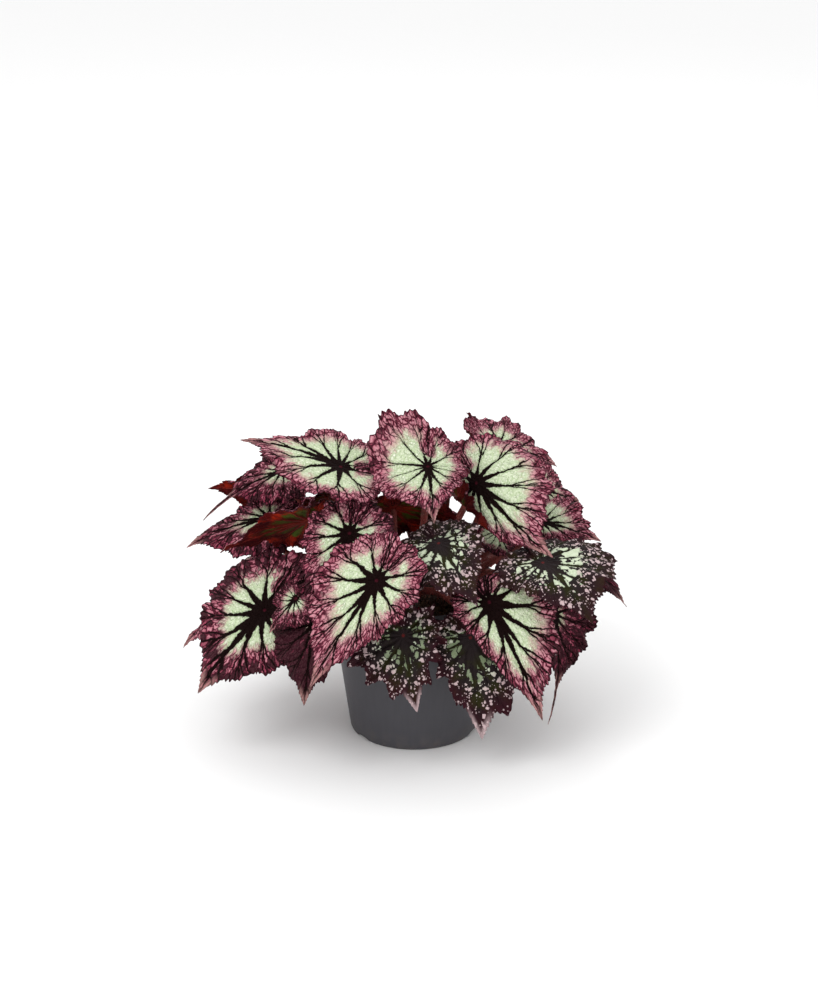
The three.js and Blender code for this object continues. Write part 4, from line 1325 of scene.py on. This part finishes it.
class PotSettings(bpy.types.PropertyGroup):
    """Sizes and colours of the nursery pot."""

    rim_radius: length_setting("Rim Radius", "Outside radius of the rim", POT_HIGH.x)
    height: length_setting("Height", "Height of the pot", POT_HIGH.z)
    base_radius: length_setting("Base Radius", "Radius of the underside", 44 * MM)
    rim_band: length_setting("Rim Band", "Height of the band round the mouth", 11 * MM)
    wall: length_setting("Wall", "Thickness of the wall", 1.4 * MM)
    sides: IntProperty(name="Sides", description="Steps round the pot", default=144, min=24)
    plastic: colour_setting("Plastic", "Colour of the pot", (0.055, 0.053, 0.061))
    plastic_light: colour_setting("Light Plastic", "Flow streaks", (0.067, 0.065, 0.074))


class StageSettings(bpy.types.PropertyGroup):
    """The floor, the lights and where the camera stands."""

    floor: colour_setting("Floor", "Colour of the floor", (0.93, 0.93, 0.93))
    camera_distance: length_setting("Camera Distance", "From the camera to its target", 1.6)
    target_height: length_setting("Target Height", "Height of what the camera looks at", 0.13)
    elevation: FloatProperty(
        name="Elevation", description="Camera above the horizon", default=math.radians(22),
        unit="ROTATION", subtype="ANGLE",
    )
    key: power_setting("Key Light", "Power of the key light", 19)
    fill: power_setting("Fill Light", "Power of the fill light", 3)
    back: power_setting("Back Light", "Power of the back light", 5)


# ---- operators ----
class BEGONIA_OT_blades(bpy.types.Operator):
    """Makes every leaf blade, with teeth, quilting and painted sides"""

    bl_idname = "begonia.blades"
    bl_label = "Leaf Blades"

    def execute(self, context):
        settings = context.scene.begonia_blades
        painted, speckled = painted_material(settings), speckled_material(settings)
        underside = underside_material(settings)
        for node, leaf in whole_leaves():
            blade = Blade(leaf, settings)
            upper, lower, wall = blade.faces()
            name = node.replace("leaf", "blade")
            made = mesh_object(name, np.vstack(blade.sides), upper + lower + wall)
            mesh = made.data
            set_vectors(mesh, "leaf_place", np.vstack([blade.place] * 2))
            set_vectors(mesh, "leaf_flat", np.vstack([blade.flat] * 2))
            look = (leaf["pale"], leaf["veins"] * blade.length / USUAL_LENGTH, leaf["maroon_and_shade"])
            set_vectors(mesh, "leaf_look", np.tile(look, (len(mesh.vertices), 1)))
            mesh.materials.append(speckled if leaf["dark"] else painted)
            mesh.materials.append(underside)
            slots = [0] * len(upper) + [1] * len(lower) + [0] * len(wall)
            mesh.polygons.foreach_set("material_index", slots)
            finished(made, "dark_leaf" if leaf["dark"] else "painted_leaf", node)
        return {"FINISHED"}


class BEGONIA_OT_stalks(bpy.types.Operator):
    """Makes the rhizome and the hairy stalks"""

    bl_idname = "begonia.stalks"
    bl_label = "Rhizome and Stalks"

    FLARE, FLARE_SHARE = 0.9, 0.06  # how much a stalk's foot widens, and over what share of it
    HAIR_SEED = 7
    RHIZOME_RADIUS, RHIZOME_SIDES, RHIZOME_STEPS = 7, 24, 40
    RIDGES, RIDGE_HEIGHT = 9, 0.05  # along an arm, as a share of its radius
    BLUNTNESS = 8  # the higher, the blunter an arm's ends
    END_SHARE = 0.35  # thickness of the very end of an arm

    def execute(self, context):
        settings = context.scene.begonia_stalks
        foot, end = settings.foot_radius / MM, settings.end_radius / MM
        paths = []
        for _, leaf in whole_leaves():
            blade = Blade(leaf, context.scene.begonia_blades)
            paths.append(stalk_path(leaf, blade.centre, -blade.normal, STALK_POINTED * end))
        share = np.linspace(0, 1, STALK_POINTS)
        radii = foot + (end - foot) * share
        radii += self.FLARE * np.exp(-((share / self.FLARE_SHARE) ** 2))
        radii[-1] *= STALK_POINTED
        line = self.line_object("stalk_line", paths, radii)
        skin = stalk_material(settings)
        stalks = grown(line, swept_tubes, "stalks", sides=settings.sides, material=skin)
        hair = grown(
            stalks, hairs, "stalk_hairs", density=settings.hair_density, length=settings.hair_length,
            thickness=settings.hair_thickness, seed=self.HAIR_SEED, material=hair_material(settings),
        )
        bpy.data.objects.remove(line)
        finished(stalks, "stalk", "rhizome_and_stalks")
        finished(hair, "stalk")
        self.rhizome(settings)
        return {"FINISHED"}

    @staticmethod
    def line_object(name, paths, radii):
        """A mesh of bare edges along each path, with the tube's radius at each point."""
        mesh = bpy.data.meshes.new(name)
        edges = []
        for k in range(len(paths)):
            first = k * len(radii)
            edges += [(first + i, first + i + 1) for i in range(len(radii) - 1)]
        mesh.from_pydata((np.vstack(paths) * MM).tolist(), edges, [])
        attribute = mesh.attributes.new("tube_radius", "FLOAT", "POINT")
        attribute.data.foreach_set("value", np.tile(radii * MM, len(paths)).astype(np.float32))
        made = bpy.data.objects.new(name, mesh)
        collection().objects.link(made)
        return made

    def rhizome(self, settings):
        """Four knobbly arms, half sunk in the soil."""
        share = np.linspace(0, 1, self.RHIZOME_STEPS)
        knuckles = np.interp(share, np.linspace(0, 1, len(RHIZOME_KNUCKLES)), RHIZOME_KNUCKLES)
        ends = np.sqrt(np.clip(1 - (2 * share - 1) ** self.BLUNTNESS, 0, 1))
        ridges = 1 + self.RIDGE_HEIGHT * np.sin(share * math.tau * self.RIDGES)
        radii = self.RHIZOME_RADIUS * knuckles * ridges * (self.END_SHARE + (1 - self.END_SHARE) * ends)
        paths = []
        for compass, reach in RHIZOME_ARMS:
            start = compass_point(compass, -RHIZOME_CROSS, RHIZOME_HEIGHT - RHIZOME_DIP)
            end = compass_point(compass, reach, RHIZOME_HEIGHT)
            paths.append(start + (end - start) * share[:, None])
        line = self.line_object("rhizome_line", paths, radii)
        bark = rhizome_material(settings)
        made = grown(line, swept_tubes, "rhizome", sides=self.RHIZOME_SIDES, material=bark)
        bpy.data.objects.remove(line)
        finished(made, "stalk")


class BEGONIA_OT_soil(bpy.types.Operator):
    """Makes the potting soil, its crumbs and its perlite"""

    bl_idname = "begonia.soil"
    bl_label = "Potting Soil"

    FOOT_RADIUS = 42.3
    DOME, DOME_RADIUS = 3, 38  # how much higher the soil lies in the middle, and how far out it does
    SHOULDER = [(0, 2.4), (0.8, 1), (1, 0)]  # in from the wall and down from the edge of the surface
    SIDES, RINGS = 96, 25
    LUMPS = [(0.7, 9), (0.5, 4)]  # height and breadth of the lumps
    LUMPS_BELOW = 1.2  # how far below the edge of the surface they start
    CRUMB_ROUGHNESS, PERLITE_ROUGHNESS = 0.95, 0.85
    LUMP_SEED, CRUMB_SEED, PERLITE_SEED = 3, 5, 11
    CRUMB_GLOW = 1.5  # how much lighter the crumbs are than the ground

    def execute(self, context):
        settings = context.scene.begonia_soil
        wall = SOIL_HIGH.x / MM
        low, top = SOIL_LOW.z / MM, SOIL_HIGH.z / MM - self.DOME
        surface = []
        for radius in np.linspace(0, wall - self.SHOULDER[-1][0], self.RINGS + 1)[:-1][::-1]:
            out = min(1, radius / self.DOME_RADIUS)
            surface.append((radius, top + self.DOME * math.cos(out * math.pi / 2)))
        # up the side, round the edge and in over the surface
        side = [(wall - inward, top - down) for inward, down in self.SHOULDER[:-1]]
        profile = [(0, low), (self.FOOT_RADIUS, low), *side, *surface]
        points, faces = lathe(profile, self.SIDES)
        points = np.array(points)
        rng = np.random.default_rng(self.LUMP_SEED)
        x, y, z = points.T
        lumps = sum(height * crumple(x, y, size, rng) for height, size in self.LUMPS)
        points[:, 2] += np.where(z > top - self.LUMPS_BELOW, lumps, 0)
        ground = mesh_object("soil_ground", points, faces)
        outward(ground)
        lighter = tuple(self.CRUMB_GLOW * part for part in settings.light)
        rough = self.CRUMB_ROUGHNESS
        moist = soil_material("moist_soil", settings.light, settings.dark, rough)
        crumb = soil_material("soil_crumb", lighter, settings.dark, rough)
        white = soil_material(
            "perlite_grain", settings.perlite, settings.perlite_shade, self.PERLITE_ROUGHNESS
        )
        ground.data.materials.append(moist)
        strewn = grown(
            ground, crumbs, "soil_crumbs", density=settings.crumb_density,
            smallest=settings.crumb_smallest, largest=settings.crumb_largest,
            seed=self.CRUMB_SEED, material=crumb,
        )
        grains = grown(
            ground, crumbs, "soil_perlite", density=settings.perlite_density,
            smallest=settings.perlite_smallest, largest=settings.perlite_largest,
            seed=self.PERLITE_SEED, material=white,
        )
        finished(ground, "potting_soil", "soil")
        finished(strewn, "potting_soil")
        finished(grains, "potting_soil")
        return {"FINISHED"}


class BEGONIA_OT_pot(bpy.types.Operator):
    """Makes the nursery pot, with its rim, drainage arches and drains"""

    bl_idname = "begonia.pot"
    bl_label = "Nursery Pot"

    ARCH_TURNS = (-144, -24, 96)
    ARCH_WIDTH, ARCH_HEIGHT, ARCH_REACH = 13, 2.6, 12
    ARCH_SPRING = 0.9  # height at which an arch starts to close
    ARCH_STEPS = 12
    DRAIN_TURN = 60  # from an arch to the next drain
    DRAIN_RADIUS, DRAIN_CIRCLE, DRAIN_SIDES = 4, 27, 32
    CUT_LOW, CUT_HIGH = -3, 6  # how far the cutters reach below and above
    FLOOR = 1.6  # thickness of the pot's floor
    STEP = 1.6  # how far the band stands out from the wall
    SHARP = math.radians(32)

    def execute(self, context):
        settings = context.scene.begonia_pot
        base = settings.base_radius / MM
        points, faces = lathe(self.profile(settings, base), settings.sides)
        pot = mesh_object("pot_wall", points, faces, smooth=False)
        outward(pot)
        cutters = []
        for turn in self.ARCH_TURNS:
            cutters += [self.arch(turn, base), self.drain(turn + self.DRAIN_TURN)]
        for cutter in cutters:
            self.cut(pot, cutter)
        made = baked(pot, "nursery_pot")
        for cutter in cutters:
            bpy.data.objects.remove(cutter)
        made.data.shade_smooth()
        made.data.set_sharp_from_angle(angle=self.SHARP)
        made.data.materials.clear()
        made.data.materials.append(pot_material(settings))
        finished(made, "pot_plastic", "pot")
        return {"FINISHED"}

    def profile(self, settings, base):
        """The wall cut through, from the middle of the underside out, up, over the rim and in."""
        rim, height, wall = (v / MM for v in (settings.rim_radius, settings.height, settings.wall))
        slope = (rim - self.STEP - base) / height
        band = height - settings.rim_band / MM

        def side(z):
            return base + slope * z

        underside = [(0, 0), (base - 14, 0), (base - 2.2, 0), (base - 0.9, 0.3)]
        outside = [
            (side(0.8) - 0.3, 0.9), (side(1.6), 1.9), (side(band / 2), band / 2),
            (side(band - 0.6), band - 0.6),
        ]
        under_band = [
            (side(band) + 0.5, band), (side(band) + self.STEP - 0.35, band + 0.5),
            (side(band) + self.STEP, band + 1.2),
        ]
        lip = [
            (rim - 0.1, height - 1.5), (rim, height - 0.8), (rim - 0.3, height - 0.2),
            (rim - 0.9, height), (side(height) - wall + 0.5, height),
            (side(height) - wall, height - 0.7),
        ]
        inside = [
            (side(band) - wall, band), (side(self.FLOOR + 1.5) - wall, self.FLOOR + 1.5),
            (side(self.FLOOR) - wall - 1.3, self.FLOOR), (0, self.FLOOR),
        ]
        return underside + outside + under_band + lip + inside

    @staticmethod
    def cut(target, cutter):
        cutter.hide_render = True
        modifier = target.modifiers.new("cut", "BOOLEAN")
        modifier.operation = "DIFFERENCE"
        modifier.solver = "EXACT"
        modifier.object = cutter

    def arch(self, turn, base):
        """A block with a round top that runs in under the pot's lower edge."""
        half = self.ARCH_WIDTH / 2
        top = self.ARCH_HEIGHT - self.ARCH_SPRING
        outline = [(half, self.CUT_LOW)]
        for step in range(self.ARCH_STEPS + 1):
            angle = math.pi * step / self.ARCH_STEPS
            outline.append((half * math.cos(angle), self.ARCH_SPRING + top * math.sin(angle)))
        outline.append((-half, self.CUT_LOW))
        ends = (base - self.ARCH_REACH, base + self.ARCH_REACH)
        return self.block([(x, y, z) for x in ends for y, z in outline], turn)

    def drain(self, turn):
        """An upright cylinder through the pot's floor."""
        ring = []
        for step in range(self.DRAIN_SIDES):
            angle = math.tau * step / self.DRAIN_SIDES
            across, along = self.DRAIN_RADIUS * math.cos(angle), self.DRAIN_RADIUS * math.sin(angle)
            ring.append((self.DRAIN_CIRCLE + across, along))
        return self.block([(x, y, z) for z in (self.CUT_LOW, self.CUT_HIGH) for x, y in ring], turn)

    @staticmethod
    def block(points, degrees):
        """A cutter between two outlines of equally many points, turned round the pot's axis."""
        count = len(points) // 2
        cos, sin = math.cos(math.radians(degrees)), math.sin(math.radians(degrees))
        turned = [(x * cos - y * sin, x * sin + y * cos, z) for x, y, z in points]
        faces = [tuple(range(count)), tuple(range(2 * count - 1, count - 1, -1))]
        for i in range(count):
            j = (i + 1) % count
            faces.append((i, i + count, j + count, j))
        made = mesh_object("cutter", turned, faces, smooth=False)
        outward(made)
        return made


class BEGONIA_OT_stage(bpy.types.Operator):
    """Makes the floor, the lights and the camera"""

    bl_idname = "begonia.stage"
    bl_label = "Stage"

    LENS, SENSOR = 84.98, 36
    SHIFT = (-0.005, 0.0494)  # puts the plant where the photograph's frame has it
    FLOOR_HALF = 8000
    LIT = (0, 0, 0.12)  # the point that the lights face, in metres
    LAMPS = {  # breadth and place of each light, in metres
        "key": (1.1, (-0.8, -1.25, 1.75)),
        "fill": (1.4, (1.6, -1.1, 1.0)),
        "back": (1.2, (0.3, 1.4, 1.5)),
    }

    def execute(self, context):
        settings = context.scene.begonia_stage
        half = self.FLOOR_HALF
        corners = [(-half, -half, 0), (half, -half, 0), (half, half, 0), (-half, half, 0)]
        floor = mesh_object("studio_floor", corners, [(0, 1, 2, 3)], smooth=False)
        material, _, shader = new_material("studio_paper", roughness=0.9, Specular_IOR_Level=0.1)
        shader.inputs["Base Color"].default_value = (*settings.floor, 1)
        floor.data.materials.append(material)
        world = bpy.data.worlds.new("studio")
        world.use_nodes = True
        background = world.node_tree.nodes["Background"]
        background.inputs["Color"].default_value = (1, 1, 1, 1)
        background.inputs["Strength"].default_value = 1.0
        context.scene.world = world
        for name, (size, place) in self.LAMPS.items():
            self.lamp(name, getattr(settings, name), size, place)
        self.camera(context, settings)
        context.scene.view_settings.view_transform = "Standard"
        return {"FINISHED"}

    def lamp(self, name, power, size, place):
        lamp = bpy.data.lights.new(name, "AREA")
        lamp.energy = power
        lamp.size = size
        made = bpy.data.objects.new(name, lamp)
        made.location = place
        made.rotation_euler = self.facing(Vector(self.LIT) - Vector(place))
        collection().objects.link(made)

    @staticmethod
    def facing(direction):
        """The turn that makes a light or a camera look that way, upright."""
        return direction.to_track_quat("-Z", "Y").to_euler()

    def camera(self, context, settings):
        data = bpy.data.cameras.new("camera")
        data.lens, data.sensor_width = self.LENS, self.SENSOR
        data.shift_x, data.shift_y = self.SHIFT
        made = bpy.data.objects.new("camera", data)
        target = Vector((0, 0, settings.target_height))
        back = Vector((0, -math.cos(settings.elevation), math.sin(settings.elevation)))
        made.location = target + back * settings.camera_distance
        made.rotation_euler = self.facing(-back)
        collection().objects.link(made)
        context.scene.camera = made


class BEGONIA_PT_panel(bpy.types.Panel):
    """Lists the steps that make the plant"""

    bl_idname = "BEGONIA_PT_panel"
    bl_label = "Rex Begonia"
    bl_space_type = "VIEW_3D"
    bl_region_type = "UI"
    bl_category = "Begonia"

    def draw(self, context):
        for group, operator in STEPS.items():
            box = self.layout.box()
            box.operator(operator.bl_idname)
            settings = getattr(context.scene, group)
            for key in settings.__annotations__:
                box.prop(settings, key)


STEPS = {
    "begonia_stage": BEGONIA_OT_stage,
    "begonia_pot": BEGONIA_OT_pot,
    "begonia_soil": BEGONIA_OT_soil,
    "begonia_stalks": BEGONIA_OT_stalks,
    "begonia_blades": BEGONIA_OT_blades,
}
GROUPS = {
    "begonia_stage": StageSettings,
    "begonia_pot": PotSettings,
    "begonia_soil": SoilSettings,
    "begonia_stalks": StalkSettings,
    "begonia_blades": BladeSettings,
}
CLASSES = (*GROUPS.values(), *STEPS.values(), BEGONIA_PT_panel)


def register():
    for cls in CLASSES:
        bpy.utils.register_class(cls)
    for name, cls in GROUPS.items():
        setattr(bpy.types.Scene, name, PointerProperty(type=cls))


def unregister():
    for name in GROUPS:
        delattr(bpy.types.Scene, name)
    for cls in reversed(CLASSES):
        bpy.utils.unregister_class(cls)


def main():
    register()
    bpy.ops.begonia.stage()
    bpy.ops.begonia.pot()
    bpy.ops.begonia.soil()
    bpy.ops.begonia.stalks()
    bpy.ops.begonia.blades()


if __name__ == "__main__":
    main()
